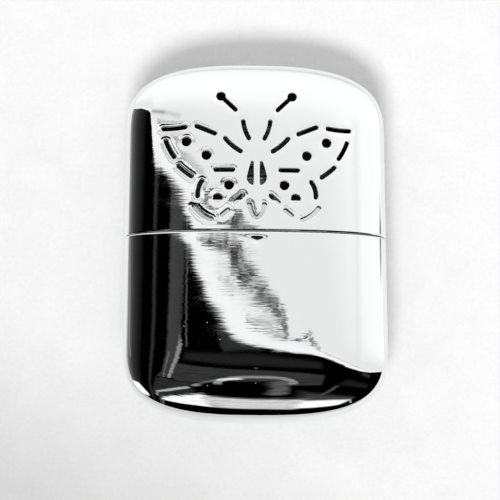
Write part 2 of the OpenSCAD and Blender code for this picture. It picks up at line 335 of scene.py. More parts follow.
def resample(points, step, closed=True):
    """Points at even steps along a line."""
    p = np.asarray(points, float)
    if closed:
        p = np.vstack([p, p[:1]])
    length = np.append(0, np.cumsum(np.linalg.norm(np.diff(p, axis=0), axis=1)))
    count = max(8, round(length[-1] / step))
    at = np.linspace(0, length[-1], count + 1)
    if closed:
        at = at[:-1]
    return np.stack([np.interp(at, length, p[:, k]) for k in (0, 1)], -1)


def rounded(points, times=3):
    """Closed outline with its corners cut, by Chaikin's rule."""
    p = np.asarray(points, float)
    for _ in range(times):
        after = np.roll(p, -1, axis=0)
        p = np.stack([p * 0.75 + after * 0.25, p * 0.25 + after * 0.75], 1).reshape(-1, 2)
    return p


def arc(centre, r, start, end, count):
    a = np.radians(np.linspace(start, end, count))
    return np.stack([centre[0] + r * np.cos(a), centre[1] + r * np.sin(a)], -1)


def heading_of(a, b):
    return math.degrees(math.atan2(b[1] - a[1], b[0] - a[0]))


def stroke(path, w):
    """Outline of a line with round ends."""
    p = np.asarray(path, float)
    n = len(p)
    left, right = [], []
    for i in range(n):
        d = p[min(i + 1, n - 1)] - p[max(i - 1, 0)]
        side = np.array([-d[1], d[0]]) / np.linalg.norm(d) * w / 2
        left.append(p[i] + side)
        right.append(p[i] - side)
    end = heading_of(p[-2], p[-1])
    start = heading_of(p[1], p[0])
    return np.vstack([left, arc(p[-1], w / 2, end + 80, end - 80, 9), right[::-1],
                      arc(p[0], w / 2, start + 80, start - 80, 9)])


def slot_path(a, b, bow):
    """Middle line of a bowed slot whose round ends touch the two tips."""
    a, b = np.array(a, float), np.array(b, float)
    along = (b - a) / np.linalg.norm(b - a)
    across = np.array([-along[1], along[0]])
    start, end = a + along * SLOT_W / 2, b - along * SLOT_W / 2
    return [start + (end - start) * f + across * bow * 4 * f * (1 - f) for f in np.linspace(0, 1, 13)]


def keyhole(ball, tip, d, w):
    """Outline of a round hole with a slot that runs out of it to a tip."""
    out = heading_of(ball, tip)
    open_angle = math.degrees(math.asin(w / d))
    along = np.array([math.cos(math.radians(out)), math.sin(math.radians(out))])
    return np.vstack([arc(ball, d / 2, out + open_angle, out + 360 - open_angle, 25),
                      arc(np.array(tip) - along * w / 2, w / 2, out - 90, out + 90, 11)])


def curve_through(points, count=6):
    """Smooth open line through some points."""
    p = np.asarray(points, float)
    padded = np.vstack([2 * p[0] - p[1], p, 2 * p[-1] - p[-2]])
    line = []
    for i in range(1, len(padded) - 2):
        a, b, c, d = padded[i - 1:i + 3]
        for f in np.linspace(0, 1, count, endpoint=False):
            line.append(0.5 * (2 * b + (c - a) * f + (2 * a - 5 * b + 4 * c - d) * f ** 2
                               + (3 * b - a - 3 * c + d) * f ** 3))
    return np.vstack([line, p[-1:]])


def is_clockwise(p):
    after = np.roll(p, -1, axis=0)
    return (p[:, 0] * after[:, 1] - after[:, 0] * p[:, 1]).sum() < 0


def vent_outlines(step):
    """Closed counter-clockwise outlines of every vent, x and height above the seam."""
    wing = [stroke(slot_path(*slot), SLOT_W) for slot in WING_SLOTS]
    wing.append(keyhole(ANTENNA_BALL, ANTENNA_TIP, HOLE_D, SLOT_W))
    wing += [arc(hole, HOLE_D / 2, 0, 350, 36) for hole in WING_HOLES]
    wing.append(rounded(BODY_HALF, 2))
    whole = wing + [outline * (-1, 1) for outline in wing]
    whole.append(stroke(curve_through(TAIL), SLOT_W))
    outlines = []
    for outline in whole:
        outline = resample(outline, step)
        if is_clockwise(outline):
            outline = outline[::-1]
        outlines.append(outline + (0, VENT_Y))
    return outlines


def outward(outline):
    """Normals that point out of a counter-clockwise outline."""
    d = np.roll(outline, -1, axis=0) - np.roll(outline, 1, axis=0)
    d /= np.linalg.norm(d, axis=1, keepdims=True)
    return np.stack([d[:, 1], -d[:, 0]], -1)


def nearest(points, outlines):
    """Distance from each point to the nearest outline, and the direction away from it."""
    here = np.vstack(outlines)
    after = np.vstack([np.roll(o, -1, axis=0) for o in outlines])
    before = np.vstack([np.roll(o, 1, axis=0) for o in outlines])
    tree = kdtree.KDTree(len(here))
    for i, (x, y) in enumerate(here):
        tree.insert((x, y, 0), i)
    tree.balance()
    k = np.array([tree.find((x, y, 0))[1] for x, y in points])
    best = np.full(len(points), 1e9)
    away = np.zeros((len(points), 2))
    for other in (before, after):
        start, along = here[k], other[k] - here[k]
        f = np.clip(((points - start) * along).sum(1) / (along ** 2).sum(1), 0, 1)
        gap = points - start - f[:, None] * along
        d = np.hypot(gap[:, 0], gap[:, 1])
        closer = d < best
        best[closer] = d[closer]
        away[closer] = gap[closer] / np.maximum(d[closer], 1e-9)[:, None]
    return best, away


def inside(points, outline):
    """Whether each point lies in an outline."""
    a, b = outline, np.roll(outline, -1, axis=0)
    x, y = points[:, None, 0], points[:, None, 1]
    spans = (a[:, 1] > y) != (b[:, 1] > y)
    rise = np.where(b[:, 1] == a[:, 1], 1, b[:, 1] - a[:, 1])
    crossing = (b[:, 0] - a[:, 0]) * (y - a[:, 1]) / rise + a[:, 0]
    return (spans & (x < crossing)).sum(1) % 2 == 1


def triangulate(border, holes, free):
    """Triangles between a border and some holes, through free points too."""
    loops = [border] + list(holes)
    points = np.vstack(loops + [free])
    edges = []
    first = 0
    for loop in loops:
        n = len(loop)
        edges += [(first + i, first + (i + 1) % n) for i in range(n)]
        first += n
    out = delaunay_2d_cdt([Vector(p) for p in points], edges, [], 0, 1e-7, True)
    where, _, faces, originals = out[0], out[1], out[2], out[3]
    if len(where) != len(points):
        raise RuntimeError("points met in the triangulation")
    origin = [ids[0] for ids in originals]
    triangles = np.array([[origin[i] for i in f] for f in faces])
    centre = points[triangles].mean(1)
    keep = inside(centre, border)
    for hole in holes:
        lo, hi = hole.min(0), hole.max(0)
        near = np.where(((centre > lo) & (centre < hi)).all(1))[0]
        keep[near[inside(centre[near], hole)]] = False
    return points, triangles[keep]


# ---------------------------------------------------------------- the case

def dish(distance):
    """How deep the sheet is pressed in at a distance from a punched edge, and the slope."""
    at = np.linspace(0, 5, 501)
    bend = (at - BEND_AT) / np.where(at < BEND_AT, *BEND_REACH)
    slope = (LIP_DEPTH / LIP_REACH * np.exp(-at / LIP_REACH)
             + DISH_SLOPE * np.exp(-0.5 * (at / DISH_REACH) ** 2) + BEND_SLOPE * np.exp(-0.5 * bend ** 2))
    depth = slope[::-1].cumsum()[::-1] * (at[1] - at[0])
    return np.interp(distance, at, depth), -np.interp(distance, at, slope)


def dent(x, h):
    """How deep the tank's dent is, and its slopes along x and h."""
    def depth(x, h):
        reach = DENT_REACH[0] + DENT_FLARE * np.clip(DENT_H - h, 0, 2)
        return DENT_DEPTH * np.exp(-0.5 * ((x / reach) ** 2 + ((h - DENT_H) / DENT_REACH[1]) ** 2))

    e = 0.001
    return (depth(x, h), (depth(x + e, h) - depth(x - e, h)) / (2 * e),
            (depth(x, h + e) - depth(x, h - e)) / (2 * e))


def press_dent(points, normals, h):
    """The tank's points and normals with the dent in their front."""
    depth, dx, dh = dent(points[:, 0], h)
    front = points[:, 2] > MID_Z
    points[front, 2] -= depth[front]
    nz = normals[front, 2]
    normals[front, 0] += dx[front] * nz
    normals[front, 1] -= dh[front] * nz
    return points, normals / np.linalg.norm(normals, axis=1, keepdims=True)


def punched_patch(parts, surface, border, border_ids, outlines, rings, gap, lip_share, flip):
    """Front of the case inside a border, with the vents cut out. Gives the ids of the vents' edges."""
    near = np.max(rings)
    free = []
    for offset in rings:
        for outline in outlines:
            free.append(outline + outward(outline) * offset)
    free = np.vstack(free)
    reach, _ = nearest(free, outlines)
    wanted = np.repeat(rings, sum(len(o) for o in outlines))
    ok = reach > wanted * 0.97 - 0.01
    for outline in outlines:
        ok &= ~inside(free, outline)
    free = free[ok]
    lo, hi = border.min(0), border.max(0)
    rows = np.arange(lo[1], hi[1], gap * 0.866)
    grid = np.array([(x + (k % 2) * gap / 2, y) for k, y in enumerate(rows)
                     for x in np.arange(lo[0], hi[0], gap)])
    reach, _ = nearest(grid, outlines)
    grid = grid[reach > near + gap * 0.4]
    for outline in outlines:
        grid = grid[~inside(grid, outline)]
    free = np.vstack([free, grid])
    edge, _ = nearest(free, [border])
    free = free[(edge > gap * 0.35) & inside(free, border)]
    order = np.argsort(nearest(free, outlines)[0], kind="stable")
    free = spread_by_size(free[order], outlines, gap)
    points, triangles = triangulate(border, outlines, free)
    distance, away = nearest(points, outlines)
    first = len(border)
    for outline in outlines:
        distance[first:first + len(outline)] = 0
        away[first:first + len(outline)] = outward(outline)
        first += len(outline)
    z, zx, zh = surface.front(points[:, 0], points[:, 1])
    depth, slope = dish(distance)
    share = MIDDLE_SHARE + (1 - MIDDLE_SHARE) * np.clip(np.abs(points[:, 0]) / WING_X, 0, 1)
    share[:len(border)] = 0
    depth, slope = depth * share, slope * share
    z = z - depth * lip_share
    normal = np.stack([-zx + slope * away[:, 0] * lip_share, -zh + slope * away[:, 1] * lip_share,
                       np.ones(len(z))], -1)
    normal /= np.linalg.norm(normal, axis=1, keepdims=True)
    if flip:
        normal = -normal
    place = np.stack([points[:, 0], SEAM_Y + points[:, 1], z], -1)
    ids = np.concatenate([border_ids, parts.add(place[len(border):], normal[len(border):])])
    parts.patch(ids, triangles, flip)
    edges = []
    first = len(border)
    for outline in outlines:
        edges.append(ids[first:first + len(outline)])
        first += len(outline)
    return edges


def spread_by_size(points, outlines, gap):
    """Thins points to a spacing that grows with the distance from the vents."""
    distance, _ = nearest(points, outlines)
    kept = []
    tree = kdtree.KDTree(len(points))
    for i, p in enumerate(points):
        tree.insert((p[0], p[1], 0), i)
    tree.balance()
    gone = np.zeros(len(points), bool)
    for i, p in enumerate(points):
        if gone[i]:
            continue
        kept.append(i)
        r = min(0.05 + 0.28 * distance[i], gap * 0.6)
        for _, j, _ in tree.find_range((p[0], p[1], 0), r):
            if j > i:
                gone[j] = True
    return points[kept]


def half_shell(height, way, edge, start, punched):
    """Half of the case: outside, inside, rounded rim, and the vents if it is punched."""
    parts = Parts()
    section = unit_section(fine=not punched)
    n = len(section)
    narrowing = CAP_TAPER if punched else TANK_TAPER
    outer = Surface(HALF_W, HALF_T, height, way, narrowing)
    inner = Surface(HALF_W - WALL, HALF_T - WALL, height - WALL, way, narrowing)
    rim_h = start + edge[0][1]
    straight = np.linspace(rim_h, STRAIGHT_H, 34)[:-1]
    if not punched:
        fine_top = rim_h + 16 * FINE_GAP
        straight = np.append(np.arange(rim_h, fine_top, FINE_GAP),
                             np.linspace(fine_top, STRAIGHT_H, 30)[:-1])
    end_h, end_s = end_profile(height)
    heights = np.append(straight, end_h[:-1])
    sizes = np.append(np.ones(len(straight)), end_s[:-1])
    rows = []
    for h, s in zip(heights, sizes):
        ring, normals = outer.ring(section, h, s), outer.ring_normals(section, h)
        if not punched:
            ring, normals = press_dent(ring, normals, h)
        rows.append(parts.add(ring, normals))
    tip = parts.add([[0, SEAM_Y + way * height, MID_Z]], [[0, way, 0]])[0]

    inner_straight = np.linspace(start + 0.4, STRAIGHT_H, 16)[:-1]
    inner_h, inner_s = end_profile(height - WALL, 1.6, 8)
    in_heights = np.append(inner_straight, inner_h[:-1])
    in_sizes = np.append(np.ones(len(inner_straight)), inner_s[:-1])
    in_rows = []
    for h, s in zip(in_heights, in_sizes):
        in_rows.append(parts.add(inner.ring(section, h, s), -inner.ring_normals(section, h)))
    in_tip = parts.add([[0, SEAM_Y + way * (height - WALL), MID_Z]], [[0, -way, 0]])[0]

    # Rim: round the outer edge, then the inner one
    rim = [rows[0]]
    for inset, rise in edge[1:]:
        ring = Surface(HALF_W - inset, HALF_T - inset, height, way, narrowing)
        rim.append(parts.add(ring.ring(section, start + rise, 1)))
    small = 0.1
    for k in range(0, 4):
        a = math.radians(90 * k / 3)
        inset = WALL - small + small * math.sin(a)
        ring = Surface(HALF_W - inset, HALF_T - inset, height, way, narrowing)
        rim.append(parts.add(ring.ring(section, start + small * (1 - math.cos(a)), 1)))
    rim.append(in_rows[0])

    columns = np.where((section[:, 1] > 0) & (np.abs(section[:, 0]) < PATCH_SHARE))[0]
    low = int(np.searchsorted(heights, PATCH_LOW))
    high = int(np.searchsorted(heights, PATCH_HIGH))
    in_low = int(np.searchsorted(in_heights, PATCH_LOW))
    in_high = int(np.searchsorted(in_heights, PATCH_HIGH))
    flipped = way < 0
    skin(parts, rows, n, columns if punched else [], low, high, flipped)
    outer_faces = len(parts.faces)
    skin(parts, in_rows, n, columns if punched else [], in_low, in_high, not flipped)
    parts.fan(in_rows[-1], in_tip, not flipped)
    # The inner faces take the dark metal that is painted as shade inside the case
    parts.painted_shade_faces += range(outer_faces, len(parts.faces))
    for k in range(len(rim) - 1):
        add_strip(parts, rim[k + 1], rim[k], flipped)
    parts.fan(rows[-1], tip, flipped)

    if punched:
        outlines = vent_outlines(0.2)
        ring_ids, ring_points = patch_border(parts, rows, columns, low, high)
        top = punched_patch(parts, outer, ring_points, ring_ids, outlines,
                            np.array([0.05, 0.11, 0.18, 0.27, 0.38, 0.5, 0.63, 0.76, 0.92, 1.12, 1.4]),
                            0.6, 1, False)
        ring_ids, ring_points = patch_border(parts, in_rows, columns, in_low, in_high)
        outer_faces = len(parts.faces)
        under = punched_patch(parts, inner, ring_points, ring_ids, outlines,
                              np.array([0.2, 0.5, 0.9]), 1.1, 0.6, True)
        parts.painted_shade_faces += range(outer_faces, len(parts.faces))
        for a, b in zip(top, under):
            for i in range(len(a)):
                j = (i + 1) % len(a)
                parts.faces.append((a[i], a[j], b[j], b[i]))
    return parts


def add_strip(parts, low, high, flipped):
    if flipped:
        parts.strip(high, low)
    else:
        parts.strip(low, high)


def skin(parts, rows, n, columns, low, high, flipped):
    """Faces between rings, apart from those between the given columns and rows."""
    open_columns = set(columns[:-1]) if len(columns) else set()
    for k in range(len(rows) - 1):
        for i in range(n):
            if low <= k < high and i in open_columns:
                continue
            j = (i + 1) % n
            face = (rows[k][j], rows[k][i], rows[k + 1][i], rows[k + 1][j])
            parts.faces.append(face[::-1] if flipped else face)


def patch_border(parts, rows, columns, low, high):
    """Counter-clockwise ids and (x, height) points round the open patch, seen from the front."""
    ids = [rows[low][i] for i in columns[::-1]]
    ids += [rows[k][columns[0]] for k in range(low + 1, high + 1)]
    ids += [rows[high][i] for i in columns[1:]]
    ids += [rows[k][columns[-1]] for k in range(high - 1, low, -1)]
    return np.array(ids), parts.seen_from_front(ids)


# ---------------------------------------------------------------- swept and pressed sheet metal

def stadium(w, t, step=0.35):
    """Counter-clockwise flat-sided oval with its round ends on the first axis."""
    r = t / 2
    half = (w - t) / 2
    count = max(8, round(math.pi * r / step))
    across = max(2, round(2 * half / 1.0))
    right = arc((half, 0), r, -90, 90, count)
    left = arc((-half, 0), r, 90, 270, count)
    top = np.stack([np.linspace(half, -half, across + 1)[1:-1], np.full(across - 1, r)], -1)
    low = np.stack([np.linspace(-half, half, across + 1)[1:-1], np.full(across - 1, -r)], -1)
    return np.vstack([right, top, left, low])


def rounded_box(w, h, r, step=0.5):
    """Counter-clockwise rectangle with round corners."""
    corners = [((w / 2 - r, -h / 2 + r), -90), ((w / 2 - r, h / 2 - r), 0),
               ((-w / 2 + r, h / 2 - r), 90), ((-w / 2 + r, -h / 2 + r), 180)]
    return resample(np.vstack([arc(c, r, a, a + 90, 7) for c, a in corners]), step)


def section_place(points, y):
    """Points of the case's cross plane, (x, z from the mid-plane), at a height above the seam."""
    return np.stack([points[:, 0], SEAM_Y + y * np.ones(len(points)), MID_Z + points[:, 1]], -1)


def swept_ring(name, outline, profile):
    """Solid ring: a closed profile of (offset, height) carried round an outline of the cross plane."""
    parts = Parts()
    normals = outward(outline)
    rows = [parts.add(section_place(outline + normals * offset, y)) for offset, y in profile]
    for k in range(len(rows)):
        parts.strip(rows[k], rows[(k + 1) % len(rows)])
    return parts.mesh(name, 35)


def round_corner(a, b, c, r, count=3):
    """Points that round the corner b of a profile."""
    a, b, c = (np.array(p, float) for p in (a, b, c))
    u = (a - b) / np.linalg.norm(a - b)
    v = (c - b) / np.linalg.norm(c - b)
    start, end = b + u * r, b + v * r
    return [tuple((1 - f) ** 2 * start + 2 * f * (1 - f) * b + f ** 2 * end)
            for f in np.linspace(0, 1, count + 1)]


def rounded_profile(corners):
    """Closed profile from corners (offset, height, radius)."""
    out = []
    n = len(corners)
    for i, (x, y, r) in enumerate(corners):
        if r <= 0:
            out.append((x, y))
        else:
            out += round_corner(corners[i - 1][:2], (x, y), corners[(i + 1) % n][:2], r)
    return out


def burner_path(grow):
    """Open line round the burner seen from the front, from its left foot over the top to the right."""
    w = BURNER_W / 2 + grow
    r = BURNER_R + grow
    top = BURNER_BOTTOM + BURNER_H + grow
    side = np.linspace(BURNER_BOTTOM, top - r, 14)
    left = np.stack([np.full(14, -w), side], -1)
    right = np.stack([np.full(14, w), side[::-1]], -1)
    across = np.linspace(-w + r, w - r, 18)[1:-1]
    bar = np.stack([across, np.full(16, top)], -1)
    return np.vstack([left[:-1], arc((-w + r, top - r), r, 180, 90, 9), bar,
                      arc((w - r, top - r), r, 90, 0, 9), right[1:]])


def path_normals(path):
    """Normals on the left of an open line."""
    d = np.gradient(path, axis=0)
    d /= np.linalg.norm(d, axis=1, keepdims=True)
    return np.stack([-d[:, 1], d[:, 0]], -1)


def front_place(points, z):
    """Points seen from the front, (x, height above the seam), at a depth from the mid-plane."""
    return np.stack([points[:, 0], SEAM_Y + points[:, 1], MID_Z + z * np.ones(len(points))], -1)


def burner_half(side):
    """Half of the burner's frame: a tray with bent edges and a window with a pressed border."""
    parts = Parts()
    path = burner_path(0)
    out = path_normals(path)
    face_z = BURNER_T / 2
    bend = 0.7
    chain = [(-bend + bend * math.sin(a), face_z - bend + bend * math.cos(a))
             for a in np.radians(np.linspace(0, 90, 6))]
    chain += [(0, 0.05), (-0.05, 0), (-FRAME_WALL + 0.05, 0), (-FRAME_WALL, 0.05)]
    small = bend - FRAME_WALL
    chain += [(-bend + small * math.sin(a), face_z - bend + small * math.cos(a))
              for a in np.radians(np.linspace(90, 0, 5))]
    rows = [parts.add(front_place(path + out * offset, side * z)) for offset, z in chain]
    for k in range(len(rows) - 1):
        for i in range(len(path) - 1):
            face = (rows[k][i], rows[k + 1][i], rows[k + 1][i + 1], rows[k][i + 1])
            parts.faces.append(face if side > 0 else face[::-1])
    first = tuple(row[0] for row in rows)
    last = tuple(row[-1] for row in rows)
    parts.faces.append(first[::-1] if side > 0 else first)
    parts.faces.append(last if side > 0 else last[::-1])
    parts.faces.append((rows[0][0], rows[-1][0], rows[-1][-1], rows[0][-1])[::side])
    window = rounded_box(WINDOW_W, WINDOW_H, WINDOW_R, 0.4) + (0, BURNER_BOTTOM + BURNER_H / 2)
    edges = []
    for row, z, up in ((rows[0], face_z, side), (rows[-1], face_z - FRAME_WALL, -side)):
        border = parts.seen_from_front(row)[::-1]
        free = [window + outward(window) * offset for offset in (0.2, 0.4, 0.65, 0.95)]
        free = np.vstack(free)
        free = free[inside(free, border)]
        points, triangles = triangulate(border, [window], free)
        distance, _ = nearest(points, [window])
        distance[len(border):len(border) + len(window)] = 0
        press = 0.22 * np.clip(1 - distance / 0.95, 0, 1) ** 2
        press[:len(border)] = 0
        ids = np.concatenate([row[::-1], parts.add(front_place(points[len(border):],
                                                               side * (z - press[len(border):])))])
        parts.patch(ids, triangles, up < 0)
        edges.append(ids[len(border):len(border) + len(window)])
    a, b = edges
    for i in range(len(a)):
        j = (i + 1) % len(a)
        face = (a[i], a[j], b[j], b[i])
        parts.faces.append(face if side > 0 else face[::-1])
    return parts


def tube(parts, line, r, sides=6):
    """Closed tube along a line of points."""
    line = np.asarray(line, float)
    d = np.gradient(line, axis=0)
    d /= np.linalg.norm(d, axis=1, keepdims=True)
    helper = np.array([0, 0, 1.0]) if abs(d[0][2]) < 0.8 else np.array([1.0, 0, 0])
    u = np.cross(d, helper)
    u /= np.linalg.norm(u, axis=1, keepdims=True)
    v = np.cross(d, u)
    rows = []
    turns = np.linspace(0, 2 * math.pi, sides, endpoint=False)
    for k in range(len(line)):
        ring = line[k] + r * (np.cos(turns)[:, None] * u[k] + np.sin(turns)[:, None] * v[k])
        rows.append(parts.add(ring))
    for k in range(len(rows) - 1):
        parts.strip(rows[k + 1], rows[k])
    parts.faces.append(tuple(rows[0][::-1]))
    parts.faces.append(tuple(rows[-1]))


def woven_gauze(side):
    """Wire cloth behind a window: wires that pass over and under each other."""
    parts = Parts()
    pitch = 0.625
    r = GAUZE_T / 4
    w, h = WINDOW_W + 2 * GAUZE_MARGIN, WINDOW_H + 2 * GAUZE_MARGIN
    columns, rows = int(w / pitch), int(h / pitch)
    mid = side * (BURNER_T / 2 - FRAME_WALL - GAUZE_T / 2)
    centre = BURNER_BOTTOM + BURNER_H / 2
    for i in range(columns):
        x = (i - (columns - 1) / 2) * pitch
        y = np.linspace(-h / 2 + 0.02, h / 2 - 0.02, 4 * rows + 1)
        phase = math.pi * (i % 2)
        z = r * 0.98 * np.cos(math.pi * (y + (rows - 1) / 2 * pitch) / pitch + phase)
        tube(parts, front_place(np.stack([np.full(len(y), x), y + centre], -1), mid + z), r, 5)
    for j in range(rows):
        y = (j - (rows - 1) / 2) * pitch
        x = np.linspace(-w / 2 + 0.02, w / 2 - 0.02, 4 * columns + 1)
        phase = math.pi * (j % 2)
        z = -r * 0.98 * np.cos(math.pi * (x + (columns - 1) / 2 * pitch) / pitch + phase)
        tube(parts, front_place(np.stack([x, np.full(len(x), y + centre)], -1), mid + z), r, 5)
    return parts


def edge_band():
    """Strip bent round the burner's edge, with soft long edges."""
    parts = Parts()
    path = burner_path(0)
    out = path_normals(path)
    half = STRIP_W / 2
    e = 0.12
    chain = [(0, -half), (STRIP_T - e, -half), (STRIP_T, -half + e), (STRIP_T, half - e),
             (STRIP_T - e, half), (0, half)]
    rows = [parts.add(front_place(path + out * offset, z)) for offset, z in chain]
    count = len(rows)
    for k in range(count):
        low, high = rows[k], rows[(k + 1) % count]
        for i in range(len(path) - 1):
            parts.faces.append((low[i], low[i + 1], high[i + 1], high[i]))
    parts.faces.append(tuple(row[0] for row in rows))
    parts.faces.append(tuple(row[-1] for row in rows)[::-1])
    return parts


# ---------------------------------------------------------------- soft pieces

def lumpy(name, parts, depth, waves, seed):
    """Mesh of packed fibre: its surface sinks in by up to a depth, in lumps and in finer tufts."""
    mesh = make_mesh(name, np.vstack(parts.points), parts.faces, None, 80)
    place = Vector((seed, 0, 0))
    moves = []
    for v in mesh.vertices:
        p = v.co / MM
        lump = noise.noise(p * waves + place) + 0.5 * noise.noise(p * waves * 3.1 + place)
        moves.append(v.co - v.normal * MM * depth * (0.5 + 0.5 * max(-1.0, min(1.0, lump * 1.4))))
    for v, co in zip(mesh.vertices, moves):
        v.co = co
    mesh.update()
    return mesh


def soft_slab(outline, low, high, edge, place, hole=None):
    """Slab with soft edges: an outline, with or without a hole, between two depths."""
    parts = Parts()
    mid, half = (low + high) / 2, (high - low) / 2
    toward = np.zeros_like(outline)
    if hole is not None:
        turn = np.unwrap(np.arctan2(hole[:, 1], hole[:, 0]))
        heading = np.arctan2(outline[:, 1], outline[:, 0])
        r = np.interp(heading, turn, np.hypot(hole[:, 0], hole[:, 1]), period=2 * math.pi)
        toward = np.stack([r * np.cos(heading), r * np.sin(heading)], -1)
    shares = np.linspace(0, 1, 13)[:-1]
    inner_edge = outline - outward(outline) * edge
    rows = []
    for side in (-1, 1):
        flat = [parts.add(place(toward + (inner_edge - toward) * (1 - f), mid + side * half))
                for f in shares[::-1]]
        rows.append(flat)
    rounding = [parts.add(place(outline - outward(outline) * edge * (1 - math.cos(a)),
                                mid + half * math.sin(a)))
                for a in np.radians(np.linspace(-75, 75, 7))]
    loop = rows[0] + rounding + rows[1][::-1]
    for a, b in zip(loop, loop[1:]):
        parts.strip(a, b)
    if hole is None:
        for row, z, up in ((loop[0], low, False), (loop[-1], high, True)):
            parts.fan(row, parts.add(place(np.zeros((1, 2)), z))[0], not up)
    else:
        parts.strip(loop[-1], loop[0])
    return parts


def packed_cotton():
    """Wadding that fills the tank: narrow inside the collar, wide below it, and rounded at its foot."""
    parts = Parts()
    section = unit_section(1.3, 9)
    wide, deep = HALF_W - WALL - FILL_GAP, HALF_T - WALL - FILL_GAP
    slim = COLLAR_INSET + TOP_WALL + FILL_GAP
    shoulder = COLLAR_TUCK + FILL_GAP
    top = FELT_T - FELT_TOP
    foot_h, foot_s = end_profile(TANK_H - WALL - FILL_GAP, 1.3, 8)
    rings = [(top, HALF_W - slim, HALF_T - slim, s) for s in np.linspace(0.08, 1, 12)]
    rings += [(h, HALF_W - slim, HALF_T - slim, 1) for h in np.linspace(top, shoulder, 10)[1:]]
    rings += [(h, wide, deep, 1) for h in np.linspace(shoulder + 1, STRAIGHT_H, 16)[:-1]]
    rings += [(h, wide, deep, s) for h, s in zip(foot_h[:-1], foot_s[:-1])]
    rows = [parts.add(Surface(w, t, 40, -1).ring(section, h, s)) for h, w, t, s in rings]
    for a, b in zip(rows, rows[1:]):
        parts.strip(b, a)
    parts.fan(rows[-1], parts.add([[0, SEAM_Y - TANK_H + WALL + FILL_GAP, MID_Z]])[0], True)
    parts.fan(rows[0], parts.add([[0, SEAM_Y - top, MID_Z]])[0], False)
    return parts


def wick_bundle():
    """Twisted cotton strands side by side, from the felt up to the bridge."""
    parts = Parts()
    r = 0.52
    outline = stadium(WICK_W - 2 * r - 0.2, WICK_T - 2 * r - 0.2)
    low, high = FELT_TOP - FELT_T, BRIDGE_Y - 0.1
    for row in range(-4, 5):
        for column in range(-8, 9):
            at = np.array([[(column + 0.5 * (row % 2)) * 2 * r, row * 1.74 * r]])
            if not inside(at, outline)[0]:
                continue
            x, z = at[0]
            y = np.linspace(low, high, 12)
            sway = [noise.noise(Vector((x, z, h * 0.5))) * 0.12 for h in y]
            swing = [noise.noise(Vector((z, x, 9 + h * 0.5))) * 0.12 for h in y]
            tube(parts, section_place(np.stack([x + np.array(sway), z + np.array(swing)], -1), y),
                 r, 7)
    return parts


# ---------------------------------------------------------------- materials

def tree_of(owner):
    owner.use_nodes = True
    owner.node_tree.nodes.clear()
    return owner.node_tree


def node(tree, kind, inputs=None, **settings):
    """A node with its settings, and its inputs as values or as sockets to link."""
    made = tree.nodes.new(kind)
    for key, value in settings.items():
        setattr(made, key, value)
    for key, value in (inputs or {}).items():
        if isinstance(value, bpy.types.NodeSocket):
            tree.links.new(value, made.inputs[key])
        else:
            made.inputs[key].default_value = value
    return made


def math_node(tree, operation, a, b=None):
    inputs = {0: a}
    if b is not None:
        inputs[1] = b
    return node(tree, "ShaderNodeMath", inputs, operation=operation).outputs[0]


def noise_of(tree, place, scale, detail=2.0, roughness=0.5):
    """Noise with its own scale on each axis, in waves to the metre."""
    stretched = node(tree, "ShaderNodeMapping", {"Vector": place, "Scale": scale})
    return node(tree, "ShaderNodeTexNoise",
                {"Vector": stretched.outputs[0], "Scale": 1.0, "Detail": detail,
                 "Roughness": roughness}).outputs["Fac"]


def ranged(tree, value, from_min, from_max, to_min, to_max, smooth=False):
    kind = "SMOOTHSTEP" if smooth else "LINEAR"
    return node(tree, "ShaderNodeMapRange",
                {"Value": value, "From Min": from_min, "From Max": from_max, "To Min": to_min,
                 "To Max": to_max}, interpolation_type=kind).outputs[0]


def bump(tree, height, distance, normal=None):
    inputs = {"Height": height, "Distance": distance, "Strength": 1.0}
    if normal is not None:
        inputs["Normal"] = normal
    return node(tree, "ShaderNodeBump", inputs).outputs[0]


def grey(bright):
    return bright, bright, bright, 1


def mixed(tree, factor, a, b):
    return node(tree, "ShaderNodeMix", {"Factor": factor, 6: a, 7: b}, data_type="RGBA").outputs[2]


